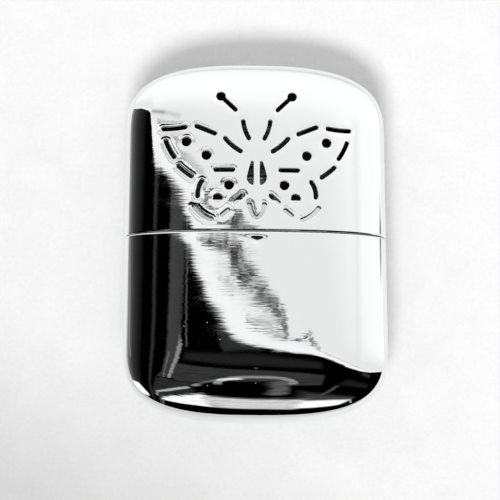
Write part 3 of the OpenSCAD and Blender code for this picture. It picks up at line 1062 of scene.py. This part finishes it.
def metal(name, color, rough, rough_spread, line, wave, dark=None, dust=False, sway=0):
    """Plated or bare metal: fine lines along X, slow waves, uneven polish, and specks of dust.

    Each fine line of a drawn sheet is also turned a little to the left or right, by up to the sway.
    """
    material = bpy.data.materials.new(name)
    tree = tree_of(material)
    place = node(tree, "ShaderNodeTexCoord").outputs["Object"]
    waves = noise_of(tree, place, (55, 75, 60), 1)
    lines = noise_of(tree, place, (240, 1700, 500), 1.5, 0.5)
    normal = node(tree, "ShaderNodeNewGeometry").outputs["Normal"]
    if sway:
        turned = ranged(tree, noise_of(tree, place, (170, 1600, 500), 1.5), 0.2, 0.8, -sway, sway)
        aside = node(tree, "ShaderNodeCombineXYZ", {0: turned}).outputs[0]
        normal = node(tree, "ShaderNodeVectorMath", {0: normal, 1: aside}, operation="ADD").outputs[0]
        normal = node(tree, "ShaderNodeVectorMath", {0: normal}, operation="NORMALIZE").outputs[0]
    normal = bump(tree, waves, wave, normal)
    normal = bump(tree, lines, line, normal)
    polish = noise_of(tree, place, (160, 420, 200), 4)
    shader = node(tree, "ShaderNodeBsdfPrincipled", {"Metallic": 1.0, "Base Color": (*color, 1),
                                                     "Normal": normal})
    roughness = ranged(tree, polish, 0.35, 0.75, rough, rough + rough_spread)
    tree.links.new(roughness, shader.inputs["Roughness"])
    if dark:
        stain = noise_of(tree, place, (240, 260, 240), 5, 0.6)
        tone = mixed(tree, ranged(tree, stain, 0.38, 0.66, 0, 1), (*color, 1), (*dark, 1))
        tree.links.new(tone, shader.inputs["Base Color"])
    if dust:
        cells = node(tree, "ShaderNodeTexVoronoi", {"Vector": place, "Scale": 330.0, "Randomness": 1.0})
        near = ranged(tree, cells.outputs["Distance"], 0.025, 0.04, 1, 0)
        some = math_node(tree, "GREATER_THAN", node(tree, "ShaderNodeSeparateColor",
                                                    {0: cells.outputs["Color"]}).outputs[0], 0.86)
        speck = math_node(tree, "MULTIPLY", near, some)
        tree.links.new(mixed(tree, speck, (*color, 1), (0.7, 0.7, 0.7, 1)), shader.inputs["Base Color"])
        tree.links.new(ranged(tree, speck, 0, 1, 1, 0), shader.inputs["Metallic"])
        tree.links.new(math_node(tree, "MAXIMUM", roughness, math_node(tree, "MULTIPLY", speck, 0.9)),
                       shader.inputs["Roughness"])
    out = node(tree, "ShaderNodeOutputMaterial")
    tree.links.new(shader.outputs[0], out.inputs["Surface"])
    return material


def fibre(name, light, shade, scale, depth):
    """Matted fibres: crossing streaks in colour and relief."""
    material = bpy.data.materials.new(name)
    tree = tree_of(material)
    place = node(tree, "ShaderNodeTexCoord").outputs["Object"]
    a = noise_of(tree, place, (scale, scale * 6, scale * 2), 4, 0.65)
    b = noise_of(tree, place, (scale * 6, scale, scale * 2), 4, 0.65)
    both = math_node(tree, "ADD", a, b)
    tone = mixed(tree, ranged(tree, both, 0.75, 1.25, 0, 1), (*shade, 1), (*light, 1))
    normal = bump(tree, both, depth)
    shader = node(tree, "ShaderNodeBsdfPrincipled", {"Base Color": tone, "Roughness": 0.95,
                                                     "Sheen Weight": 0.3, "Normal": normal})
    out = node(tree, "ShaderNodeOutputMaterial")
    tree.links.new(shader.outputs[0], out.inputs["Surface"])
    return material


CHROME = metal("case_chrome", (0.9, 0.905, 0.91), 0.012, 0.035, 1.7e-6, 4e-5, dust=True, sway=0.004)
# The case's inner faces: dull metal, darkened further as painted shade for the inside of the closed case
INSIDE_PAINTED_SHADE = metal("case_inside_painted_shade", (0.3, 0.29, 0.28), 0.4, 0.2, 8e-6, 4e-5, (0.12, 0.115, 0.11))
INNER = metal("inner_plate", (0.78, 0.785, 0.79), 0.14, 0.12, 1e-5, 6e-5)
SOLDER = metal("tin_solder", (0.55, 0.55, 0.56), 0.35, 0.2, 1e-5, 2e-4)
BURNER = metal("burner_steel", (0.5, 0.49, 0.48), 0.32, 0.2, 1.2e-5, 5e-5, (0.24, 0.23, 0.23))
WIRE = metal("gauze_steel", (0.3, 0.29, 0.28), 0.4, 0.2, 4e-6, 1e-5, (0.12, 0.11, 0.11))
COTTON = fibre("white_cotton", (0.93, 0.92, 0.88), (0.78, 0.76, 0.7), 500, 1.5e-4)
FELT = fibre("wool_felt", (0.82, 0.8, 0.74), (0.64, 0.62, 0.56), 900, 8e-5)
GLASS = fibre("fibre_mat", (0.36, 0.35, 0.34), (0.14, 0.135, 0.13), 1100, 1e-4)


# ---------------------------------------------------------------- pieces

cap = half_shell(CAP_H, 1, CAP_EDGE, SEAM_GAP, True).mesh("cap_case")
link("cap_case", cap, CHROME, "cap", "cap_shell")
cap.materials.append(INSIDE_PAINTED_SHADE)
tank = half_shell(TANK_H, -1, TANK_EDGE, 0, False).mesh("tank_case")
link("tank_case", tank, CHROME, "tank", "tank_shell")
tank.materials.append(INSIDE_PAINTED_SHADE)


def collar():
    """Tank top: a collar with a rounded edge and a plate with the neck's hole."""
    parts = Parts()
    section = unit_section(1.2, 6)
    hole = stadium(NECK_W, NECK_T)
    edges = []
    for inset, top, r, up in ((COLLAR_INSET, COLLAR_H, COLLAR_R, True),
                              (COLLAR_INSET + TOP_WALL, COLLAR_H - TOP_WALL,
                               max(COLLAR_R - TOP_WALL, 0.1), False)):
        heights = list(np.linspace(-COLLAR_TUCK, top - r, 9)[:-1])
        insets = [0.0] * len(heights)
        for a in np.radians(np.linspace(0, 90, 9)):
            heights.append(top - r * (1 - math.sin(a)))
            insets.append(r * (1 - math.cos(a)))
        rows = []
        for h, extra in zip(heights, insets):
            ring = Surface(HALF_W - inset - extra, HALF_T - inset - extra, 40, 1)
            rows.append(parts.add(ring.ring(section, h, 1)))
        for k in range(len(rows) - 1):
            low, high = (rows[k], rows[k + 1]) if up else (rows[k + 1], rows[k])
            parts.strip(low, high)
        border = parts.seen_along(rows[-1])
        grid = np.array([(x, z) for x in np.arange(-31, 32, 1.6) for z in np.arange(-5, 6, 1.25)])
        grid = grid[inside(grid, border) & ~inside(grid, hole)]
        grid = grid[(nearest(grid, [border])[0] > 0.6) & (nearest(grid, [hole])[0] > 0.6)]
        points, triangles = triangulate(border, [hole], grid)
        ids = np.concatenate([rows[-1], parts.add(section_place(points[len(border):], top))])
        parts.patch(ids, triangles, up)
        edges.append((rows[0], ids[len(border):len(border) + len(hole)]))
    (foot_out, hole_out), (foot_in, hole_in) = edges
    parts.strip(foot_in, foot_out)
    parts.strip(hole_out, hole_in)
    return parts


link("tank_collar", collar().mesh("tank_collar", 50), INNER, "tank", "tank_top")

neck_profile = rounded_profile([
    (0, COLLAR_H - TOP_WALL, 0), (NECK_FLANGE, COLLAR_H - TOP_WALL, 0),
    (NECK_FLANGE, COLLAR_H - TOP_WALL - NECK_WALL, 0.1),
    (-NECK_WALL, COLLAR_H - TOP_WALL - NECK_WALL, 0.15), (-NECK_WALL, NECK_TOP, 0.2),
    (0, NECK_TOP, 0.2)])
neck_mesh = swept_ring("neck", stadium(NECK_W, NECK_T), neck_profile[::-1])
link("neck", neck_mesh, INNER, "tank", "filler_neck")

bead_profile = [(0, COLLAR_H)] + [
    (SOLDER_W * (1 - f), COLLAR_H + SOLDER_RISE * (1 - math.sqrt(1 - f * f)))
    for f in np.linspace(0, 1, 6)]
bead_mesh = swept_ring("solder_bead", stadium(NECK_W, NECK_T), bead_profile)
link("solder_bead", bead_mesh, SOLDER, "tank", "neck_solder")


def burner_foot():
    """Sleeve that slips over the neck, drawn out of the plate that closes the burner's foot."""
    parts = Parts()
    bore = stadium(NECK_W + 2 * SOCKET_FIT, NECK_T + 2 * SOCKET_FIT)
    out = outward(bore)
    under = BURNER_BOTTOM - SOCKET_WALL
    blend = 0.2

    def ring(offset, y):
        return parts.add(section_place(bore + out * offset, y))

    inner = [ring(0, BURNER_BOTTOM - 0.15), ring(0, SOCKET_BOTTOM + 0.1), ring(0.05, SOCKET_BOTTOM)]
    outer = [ring(SOCKET_WALL - 0.1, SOCKET_BOTTOM), ring(SOCKET_WALL, SOCKET_BOTTOM + 0.1)]
    outer += [ring(SOCKET_WALL + blend * (1 - math.cos(a)), under - blend * (1 - math.sin(a)))
              for a in np.radians(np.linspace(0, 90, 5))]
    sleeve = inner + outer
    for low, high in zip(sleeve, sleeve[1:]):
        parts.strip(high, low)
    top = ring(0.12, BURNER_BOTTOM)
    lip = ring(0.04, BURNER_BOTTOM - 0.05)
    parts.strip(inner[0], lip)
    parts.strip(lip, top)
    box = rounded_box(BURNER_W, BURNER_T, 0.6)
    rows = [parts.add(section_place(box, y)) for y in (under, BURNER_BOTTOM)]
    parts.strip(rows[0], rows[1])
    for edge, hole, y, up in ((rows[0], outer[-1], under, False), (rows[1], top, BURNER_BOTTOM, True)):
        _, triangles = triangulate(parts.seen_along(edge), [parts.seen_along(hole)], np.zeros((0, 2)))
        ids = np.concatenate([edge, hole])
        parts.patch(ids, triangles, up)
    return parts


link("burner_foot", burner_foot().mesh("burner_foot", 40), INNER, "burner", "burner_socket")

for side, word in ((1, "front"), (-1, "rear")):
    link(f"{word}_tray", burner_half(side).mesh(f"{word}_tray", 30), BURNER, "burner",
         f"{word}_frame")
    link(f"{word}_weave", woven_gauze(side).mesh(f"{word}_weave", 80), WIRE, "burner",
         f"{word}_gauze")
link("band", edge_band().mesh("band", 50), BURNER, "burner", "edge_strip")

mat_inset = FRAME_WALL + MAT_GAP
mat_back = BURNER_T / 2 - FRAME_WALL - GAUZE_T - MAT_T
mat_low, mat_high = BURNER_BOTTOM + FRAME_WALL, BURNER_BOTTOM + BURNER_H - mat_inset
mat_path = burner_path(-mat_inset)
mat_path = mat_path[mat_path[:, 1] >= mat_low][::-1]
mat_outline = resample(mat_path, 0.45) - (0, (mat_low + mat_high) / 2)
for side, word in ((1, "front"), (-1, "rear")):
    slab = soft_slab(mat_outline[::side], mat_back, mat_back + MAT_T, 0.45,
                     lambda p, z: front_place(p + (0, (mat_low + mat_high) / 2), side * z))
    piece = link(f"{word}_fibre", lumpy(f"{word}_fibre", slab, 0.16, 0.9, 5 + side), GLASS, "burner",
                 f"{word}_mat")

wadding = link("packed_cotton", lumpy("packed_cotton", packed_cotton(), 0.6, 0.22, 2), COTTON, "tank",
               "cotton_wadding")
felt_outline = resample(unit_section(0.8) * (HALF_W - COLLAR_INSET - TOP_WALL - FILL_GAP,
                                             HALF_T - COLLAR_INSET - TOP_WALL - FILL_GAP), 0.9)
felt_slab = soft_slab(felt_outline, FELT_TOP - FELT_T + 0.02, FELT_TOP, 0.5, section_place,
                      stadium(NECK_W - 2 * NECK_WALL, NECK_T - 2 * NECK_WALL))
felt = link("felt_disc", lumpy("felt_disc", felt_slab, 0.12, 0.8, 3), FELT, "tank", "felt_pad")
wick = link("wick_strands", wick_bundle().mesh("wick_strands", 60), COTTON, "tank", "neck_wick")

for name, material in (("shell_solder", SOLDER), ("wick_bridge", INNER), ("vapour_plate", BURNER),
                       ("mat_spacer", BURNER)):
    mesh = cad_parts[name].data
    mesh.materials.clear()
    mesh.materials.append(material)


# ---------------------------------------------------------------- camera, floor, light

# The camera's lean towards the tank and to the left in degrees, and its distance and shift in mm
CAMERA_TILT = 14.95
CAMERA_SWING = 2.017
CAMERA_REACH = 486.5
CAMERA_ASIDE = (-1.425, -2.415)

camera_data = bpy.data.cameras.new("camera")
camera = bpy.data.objects.new("camera", camera_data)
bpy.context.scene.collection.objects.link(camera)
tilt, swing = math.radians(CAMERA_TILT), math.radians(CAMERA_SWING)
forward = Vector((math.sin(swing), math.sin(tilt) * math.cos(swing), -math.cos(tilt) * math.cos(swing)))
right = forward.cross(Vector((0, 1, 0))).normalized()
up = right.cross(forward)
turn = Matrix((right, up, -forward)).transposed().to_4x4()
camera_place = (Vector((0, 0, MID_Z)) - forward * CAMERA_REACH + right * CAMERA_ASIDE[0]
                + up * CAMERA_ASIDE[1])
camera.matrix_world = Matrix.Translation(camera_place * MM) @ turn
camera_data.sensor_width = 36
camera_data.lens = 134.7
camera_data.clip_start = 0.01
camera_data.clip_end = 20
bpy.context.scene.camera = camera

floor_size = 3.0
floor_mesh = bpy.data.meshes.new("floor")
corner = floor_size / 2
floor_mesh.from_pydata([(-corner, -corner, 0), (corner, -corner, 0), (corner, corner, 0),
                        (-corner, corner, 0)], [], [(0, 1, 2, 3)])
floor = bpy.data.objects.new("floor", floor_mesh)
bpy.context.scene.collection.objects.link(floor)
paper = bpy.data.materials.new("white_paper")
paper_tree = tree_of(paper)
paper_place = node(paper_tree, "ShaderNodeTexCoord").outputs["Object"]
mottle = noise_of(paper_tree, paper_place, (90, 90, 90), 5, 0.6)
tooth = noise_of(paper_tree, paper_place, (1000, 1000, 1000), 2, 0.6)
paper_grain = ranged(paper_tree, math_node(paper_tree, "ADD", mottle, tooth), 0.6, 1.4, 0, 1)
paper_tone = mixed(paper_tree, paper_grain, grey(0.83), grey(0.91))
# Painted light and shade in the paper's colour: greyer towards the corner at the front left, as painted
# lamp falloff and shadow, and lighter at the back, as a painted pool of light
corner_way = node(paper_tree, "ShaderNodeVectorMath", {0: paper_place, 1: (0.45, 0.9, 0)},
                  operation="DOT_PRODUCT").outputs["Value"]
painted_falloff = mixed(paper_tree, ranged(paper_tree, corner_way, -0.085, -0.045, 0, 1), grey(0.7), grey(0.97))
painted_falloff = mixed(paper_tree, ranged(paper_tree, corner_way, -0.045, 0.06, 0, 1), painted_falloff, grey(1.06))
paper_tone = node(paper_tree, "ShaderNodeMix", {"Factor": 1.0, 6: paper_tone, 7: painted_falloff},
                  data_type="RGBA", blend_type="MULTIPLY").outputs[2]
paper_shader = node(paper_tree, "ShaderNodeBsdfPrincipled", {"Base Color": paper_tone,
                                                            "Roughness": 0.9})
paper_out = node(paper_tree, "ShaderNodeOutputMaterial", {"Surface": paper_shader.outputs[0]})
floor_mesh.materials.append(paper)

key = bpy.data.lights.new("key", "AREA")
key.shape = "ELLIPSE"
key.size = 1.1
key.size_y = 0.5
key.energy = 37
key_object = bpy.data.objects.new("key", key)
bpy.context.scene.collection.objects.link(key_object)
key_object.location = (-0.3, -1.6, 1.5)
key_object.rotation_euler = (Vector((0, 0, 0)) - key_object.location).to_track_quat("-Z", "Y").to_euler()
key_object.visible_glossy = False

# The studio that the chrome mirrors: a white tent over the far side, and the dark room behind the
# camera. A direction is given by (x, y), where the line to it from the point straight below cuts
# the level plane of a unit sphere: (0, 0) is straight up and the unit circle is the horizon.
SPAN = 1.3
TENT_EDGE = [(-1.3, 0.72), (-0.9, 0.54), (-0.65, 0.4), (-0.36, 0.27), (-0.3, 0.23), (-0.28, 0.18),
             (-0.19, 0.155), (-0.11, 0.14), (-0.04, 0.12), (0.02, 0.1), (0.05, 0.09), (0.12, 0.08),
             (0.25, 0.02), (0.36, -0.015), (0.6, -0.04), (1.3, -0.05)]
# Brightness up into the tent from its edge: a white hem, the cloth, and its shaded foot far away
TENT_CLOTH = [(-0.005, 0), (0, 0.9), (0.01, 0.9), (0.02, 0.8), (0.06, 0.8), (0.15, 0.95), (0.3, 1),
              (0.7, 0.95), (1.2, 0.25)]
# Brightness of the room's left wall: pale at its far end, then dark with a thin post and a wide one
WALL_POSTS = [(-1.2, 0.5), (-0.8, 0.1), (-0.6, 0.03), (-0.4, 0), (-0.31, 0), (-0.29, 0.03),
              (-0.27, 0), (-0.21, 0), (-0.2, 0.05), (-0.16, 0.04), (-0.15, 0)]
POST_LEAN = 0.35

world = bpy.data.worlds.new("studio")
bpy.context.scene.world = world
sky = tree_of(world)
toward = node(sky, "ShaderNodeTexCoord").outputs["Generated"]
split = node(sky, "ShaderNodeSeparateXYZ", {0: toward})
raised = math_node(sky, "MAXIMUM", math_node(sky, "ADD", split.outputs[2], 1.0), 0.05)
sx = math_node(sky, "DIVIDE", split.outputs[0], raised)
sy = math_node(sky, "DIVIDE", split.outputs[1], raised)
flat = node(sky, "ShaderNodeCombineXYZ", {0: sx, 1: sy}).outputs[0]


def vector_node(operation, a, b=None, scale=None):
    inputs = {0: a}
    if b is not None:
        inputs[1] = b
    if scale is not None:
        inputs["Scale"] = scale
    return node(sky, "ShaderNodeVectorMath", inputs, operation=operation).outputs


def grey_ramp(value, stops):
    """Brightness along a value, from stops (value, brightness)."""
    low, high = stops[0][0], stops[-1][0]
    ramp = node(sky, "ShaderNodeValToRGB", {0: ranged(sky, value, low, high, 0, 1)})
    made = ramp.color_ramp.elements
    for _ in stops[2:]:
        made.new(0.5)
    for stop, (at, _) in zip(made, stops):
        stop.position = (at - low) / (high - low)
    for stop, (_, bright) in zip(made, stops):
        stop.color = grey(bright)
    return ramp.outputs[0]


def torn_place(amount, waves):
    """Places of the studio, moved about by noise, so that what is drawn there has torn edges."""
    stretched = node(sky, "ShaderNodeMapping", {"Vector": flat, "Scale": waves}).outputs[0]
    cloud = node(sky, "ShaderNodeTexNoise", {"Vector": stretched, "Scale": 1.0, "Detail": 3.0,
                                             "Roughness": 0.6}).outputs["Color"]
    offset = vector_node("MULTIPLY", vector_node("SUBTRACT", cloud, (0.5, 0.5, 0.5))["Vector"], amount)
    return vector_node("ADD", flat, offset["Vector"])["Vector"]


def panel(points, soft, where=None):
    """1 inside a convex polygon of the studio, with a soft edge."""
    where = where or flat
    p = np.array(points, float)
    if is_clockwise(p):
        p = p[::-1]
    least = None
    for a, b in zip(p, np.roll(p, -1, axis=0)):
        d = (b - a) / np.linalg.norm(b - a)
        inward = (-d[1], d[0], 0)
        dot = vector_node("DOT_PRODUCT", where, inward)["Value"]
        gap = math_node(sky, "SUBTRACT", dot, float(a[0] * inward[0] + a[1] * inward[1]))
        least = gap if least is None else math_node(sky, "MINIMUM", least, gap)
    return ranged(sky, least, -soft / 2, soft / 2, 0, 1, True)


def bar(a, b, width, soft, where=None):
    """1 within half a width of the line from a to b, with a soft edge."""
    run = Vector((b[0] - a[0], b[1] - a[1], 0))
    offset = vector_node("SUBTRACT", where or flat, (*a, 0))["Vector"]
    share = math_node(sky, "DIVIDE", vector_node("DOT_PRODUCT", offset, tuple(run))["Value"],
                      run.length_squared)
    share = node(sky, "ShaderNodeClamp", {0: share}).outputs[0]
    nearest_point = vector_node("SCALE", tuple(run), scale=share)["Vector"]
    gap = vector_node("DISTANCE", offset, nearest_point)["Value"]
    return ranged(sky, gap, width / 2 + soft / 2, width / 2 - soft / 2, 0, 1, True)


def hoop(centre, radius, width, lowest):
    """1 on the part of a ring that is above a height."""
    out = vector_node("DISTANCE", flat, (*centre, 0))["Value"]
    off = math_node(sky, "ABSOLUTE", math_node(sky, "SUBTRACT", out, radius))
    ring = ranged(sky, off, width / 2, width / 4, 0, 1, True)
    return math_node(sky, "MULTIPLY", ring, ranged(sky, sy, lowest - 0.01, lowest + 0.01, 0, 1, True))


across = ranged(sky, sx, -SPAN, SPAN, 0, 1)
curve = node(sky, "ShaderNodeFloatCurve", {"Value": across})
line = curve.mapping.curves[0]
for k, (x, y) in enumerate(TENT_EDGE):
    at = ((x + SPAN) / (2 * SPAN), (y + SPAN) / (2 * SPAN))
    if k == 0:
        line.points[0].location = at
    elif k == len(TENT_EDGE) - 1:
        line.points[len(line.points) - 1].location = at
    else:
        line.points.new(*at)
curve.mapping.update()
edge_y = ranged(sky, curve.outputs[0], 0, 1, -SPAN, SPAN)
past_edge = math_node(sky, "SUBTRACT", sy, edge_y)
folds = ranged(sky, noise_of(sky, flat, (60, 60, 1), 2), 0.3, 0.7, -0.002, 0.002)
tent = grey_ramp(math_node(sky, "ADD", past_edge, folds), TENT_CLOTH)
# Grey folds low in the tent, with torn edges
torn = torn_place((0.014, 0.004, 0), (60, 420, 1))
streaks = ranged(sky, noise_of(sky, torn, (90, 420, 1), 2, 0.6), 0.4, 0.6, 0, 1)
for mask, bright in (
        (bar((-0.072, 0.1385), (-0.046, 0.137), 0.002, 0.004, torn), 0.12),
        (bar((-0.046, 0.137), (-0.02, 0.135), 0.004, 0.005, torn), 0.05),
        (bar((-0.02, 0.1345), (0.004, 0.1335), 0.006, 0.006, torn), 0.04),
        (bar((-0.006, 0.133), (0.004, 0.13), 0.009, 0.01, torn), 0.05),
        (bar((0.004, 0.13), (0.014, 0.127), 0.008, 0.01, torn), 0.05),
        (bar((0.014, 0.127), (0.024, 0.122), 0.007, 0.01, torn), 0.05),
        (bar((0.024, 0.122), (0.038, 0.118), 0.007, 0.009, torn), 0.05),
        (bar((0.038, 0.118), (0.054, 0.1115), 0.006, 0.009, torn), 0.06),
        (bar((-0.03, 0.1275), (-0.004, 0.1245), 0.001, 0.003, torn), 0.2),
        (bar((0.01, 0.1145), (0.026, 0.1115), 0.002, 0.003), 0.05),
        (bar((0.026, 0.1115), (0.046, 0.1085), 0.002, 0.002), 0.04),
        (bar((0.046, 0.1085), (0.074, 0.1068), 0.002, 0.002), 0.04),
        (bar((0.074, 0.1068), (0.094, 0.109), 0.002, 0.002), 0.05),
        (bar((0.098, 0.108), (0.12, 0.098), 0.006, 0.01, torn), 0.15)):
    broken = ranged(sky, math_node(sky, "MULTIPLY", mask, math_node(sky, "ADD", streaks, 0.35)),
                    0.2, 0.75, 0, 1)
    tent = mixed(sky, broken, tent, grey(bright))
# Soft shades higher up, and the fold beside the hem
for mask, bright in (
        (bar((-0.28, 0.235), (-0.2, 0.212), 0.01, 0.03), 0.15),
        (bar((-0.2, 0.212), (-0.13, 0.188), 0.004, 0.03), 0.45),
        (bar((0.28, 0.05), (0.28, 0.17), 0.01, 0.1), 0.76),
        (bar((0.76, 0.21), (0.86, 0.238), 0.02, 0.03), 0.1),
        (bar((-0.235, 0.19), (-0.19, 0.18), 0.004, 0.012, torn), 0.42),
        (bar((-0.19, 0.18), (-0.15, 0.171), 0.004, 0.012, torn), 0.4),
        (bar((-0.15, 0.171), (-0.11, 0.161), 0.004, 0.012, torn), 0.4),
        (bar((-0.11, 0.161), (-0.06, 0.147), 0.004, 0.01, torn), 0.45),
        (bar((-0.235, 0.184), (-0.19, 0.174), 0.002, 0.002), 0.12),
        (bar((-0.19, 0.174), (-0.15, 0.166), 0.002, 0.002), 0.1),
        (bar((-0.15, 0.166), (-0.11, 0.156), 0.002, 0.002), 0.1),
        (bar((-0.11, 0.156), (-0.06, 0.142), 0.002, 0.002), 0.12),
        (bar((0.12, 0.094), (0.171, 0.0735), 0.001, 0.005), 0.3),
        (bar((0.171, 0.0735), (0.25, 0.0385), 0.001, 0.005), 0.3),
        (bar((0.25, 0.0385), (0.36, 0.003), 0.001, 0.005), 0.3)):
    tent = mixed(sky, mask, tent, grey(bright))

ragged = torn_place((0.1, 0.1, 0), (8, 40, 1))
lean = math_node(sky, "SUBTRACT", sx, math_node(sky, "MULTIPLY", sy, POST_LEAN))
light = grey_ramp(lean, WALL_POSTS)
# What stands in the room, each in front of the one before: mask and brightness
for mask, bright in (
        # The ceiling's pale strip and the dark beam under it
        (panel([(-0.1, 0.085), (0.02, 0.08), (0.13, 0.055), (0.13, 0.03), (0, 0.045),
                (-0.11, 0.065)], 0.02), 0.014),
        # The far wall, below the beam
        (panel([(-0.16, 0.05), (0.05, 0.015), (0.14, -0.01), (0.14, -0.09), (-0.26, -0.06)], 0.012),
         0.034),
        (bar((-0.163, 0.085), (-0.21, -0.055), 0.006, 0.008), 0.14),
        (bar((-0.12, 0.1), (-0.18, -0.05), 0.014, 0.008), 0.24),
        (panel([(-0.03, 0.112), (0.012, 0.112), (0.022, 0.092), (-0.02, 0.088)], 0.01), 0.024),
        (bar((-0.1, 0.15), (-0.1, 0.1), 0.004, 0.004), 0.08),
        (bar((-0.26, -0.058), (-0.16, -0.058), 0.012, 0.008), 0.0),
        # The table's near edge, pale to the left and white to the right of the camera
        (panel([(-0.26, -0.07), (-0.1, -0.07), (-0.1, -0.2), (-0.36, -0.4), (-0.42, -0.4)], 0.03), 0.022),
        (panel([(0.1, -0.17), (0.42, -0.42), (0.4, -0.6), (0.1, -0.55)], 0.06), 0.05),
        (panel([(-0.36, -0.5), (-0.27, -0.365), (-0.085, -0.205), (-0.07, -0.25), (-0.07, -0.5)],
               0.03, ragged), 1.0),
        (panel([(-0.07, -0.5), (-0.08, -0.24), (0.1, -0.29), (0.1, -0.56)], 0.06, ragged), 0.66),
        (panel([(0.1, -0.31), (0.23, -0.36), (0.38, -0.46), (0.33, -0.57), (0.1, -0.53)], 0.06), 1.1),
        (panel([(-0.61, -0.25), (-0.55, -0.32), (-0.52, -0.44), (-0.54, -0.53), (-0.63, -0.61),
                (-0.95, -0.6), (-1.0, -0.3)], 0.05), 1.1),
        (bar((-0.76, 0.19), (-0.7, 0.1), 0.03, 0.03), 0.33),
        (bar((-0.118, -0.132), (-0.318, -0.285), 0.022, 0.012), 0.45),
        (bar((-0.318, -0.285), (-0.36, -0.39), 0.022, 0.012), 0.3),
        (bar((-0.322, -0.488), (-0.483, -0.874), 0.012, 0.01), 0.15),
        (bar((0.385, -0.47), (0.475, -0.63), 0.02, 0.015), 0.4),
        (bar((0.2, -0.12), (0.16, -0.21), 0.02, 0.015), 0.06),
        (bar((0.24, -0.093), (0.487, -0.227), 0.05, 0.04), 0.012),
        (bar((0.35, -0.03), (0.45, -0.075), 0.03, 0.02), 0.03),
        # The camera: its dark lens with a bright rim
        (bar((-0.09, -0.1), (-0.04, -0.05), 0.018, 0.01), 0.25),
        (bar((0.047, -0.06), (0.047, -0.18), 0.03, 0.02), 0.1),
        (panel([(-0.08, -0.08), (-0.03, -0.04), (0.03, -0.05), (0.03, -0.16), (-0.05, -0.13)], 0.02), 0.0),
        (hoop((0.017, -0.07), 0.053, 0.022, -0.075), 0.26),
        (bar((-0.031, -0.041), (0.003, -0.026), 0.008, 0.01), 0.95)):
    light = mixed(sky, mask, light, grey(bright))
grain = ranged(sky, noise_of(sky, flat, (14, 110, 1), 4, 0.65), 0.3, 0.7, 0.45, 1.45)
grain = mixed(sky, ranged(sky, sy, 0.0, 0.05, 0, 1), grain, (1, 1, 1, 1))
light = node(sky, "ShaderNodeMix", {"Factor": 1.0, 6: light, 7: grain}, data_type="RGBA",
             blend_type="MULTIPLY").outputs[2]
studio = mixed(sky, ranged(sky, past_edge, -0.003, 0.001, 0, 1), light, tent)

rays = node(sky, "ShaderNodeLightPath")
mirror = node(sky, "ShaderNodeBackground", {"Color": studio, "Strength": 1.12})
plain = node(sky, "ShaderNodeBackground", {"Color": (1, 1, 1, 1), "Strength": 0.6})
white = node(sky, "ShaderNodeBackground", {"Color": (1, 1, 1, 1), "Strength": 1.0})
both = node(sky, "ShaderNodeMixShader", {0: rays.outputs["Is Glossy Ray"], 1: plain.outputs[0],
                                         2: mirror.outputs[0]})
seen = node(sky, "ShaderNodeMixShader", {0: rays.outputs["Is Camera Ray"], 1: both.outputs[0],
                                         2: white.outputs[0]})
node(sky, "ShaderNodeOutputWorld", {"Surface": seen.outputs[0]})

bpy.context.scene.view_settings.view_transform = "Standard"
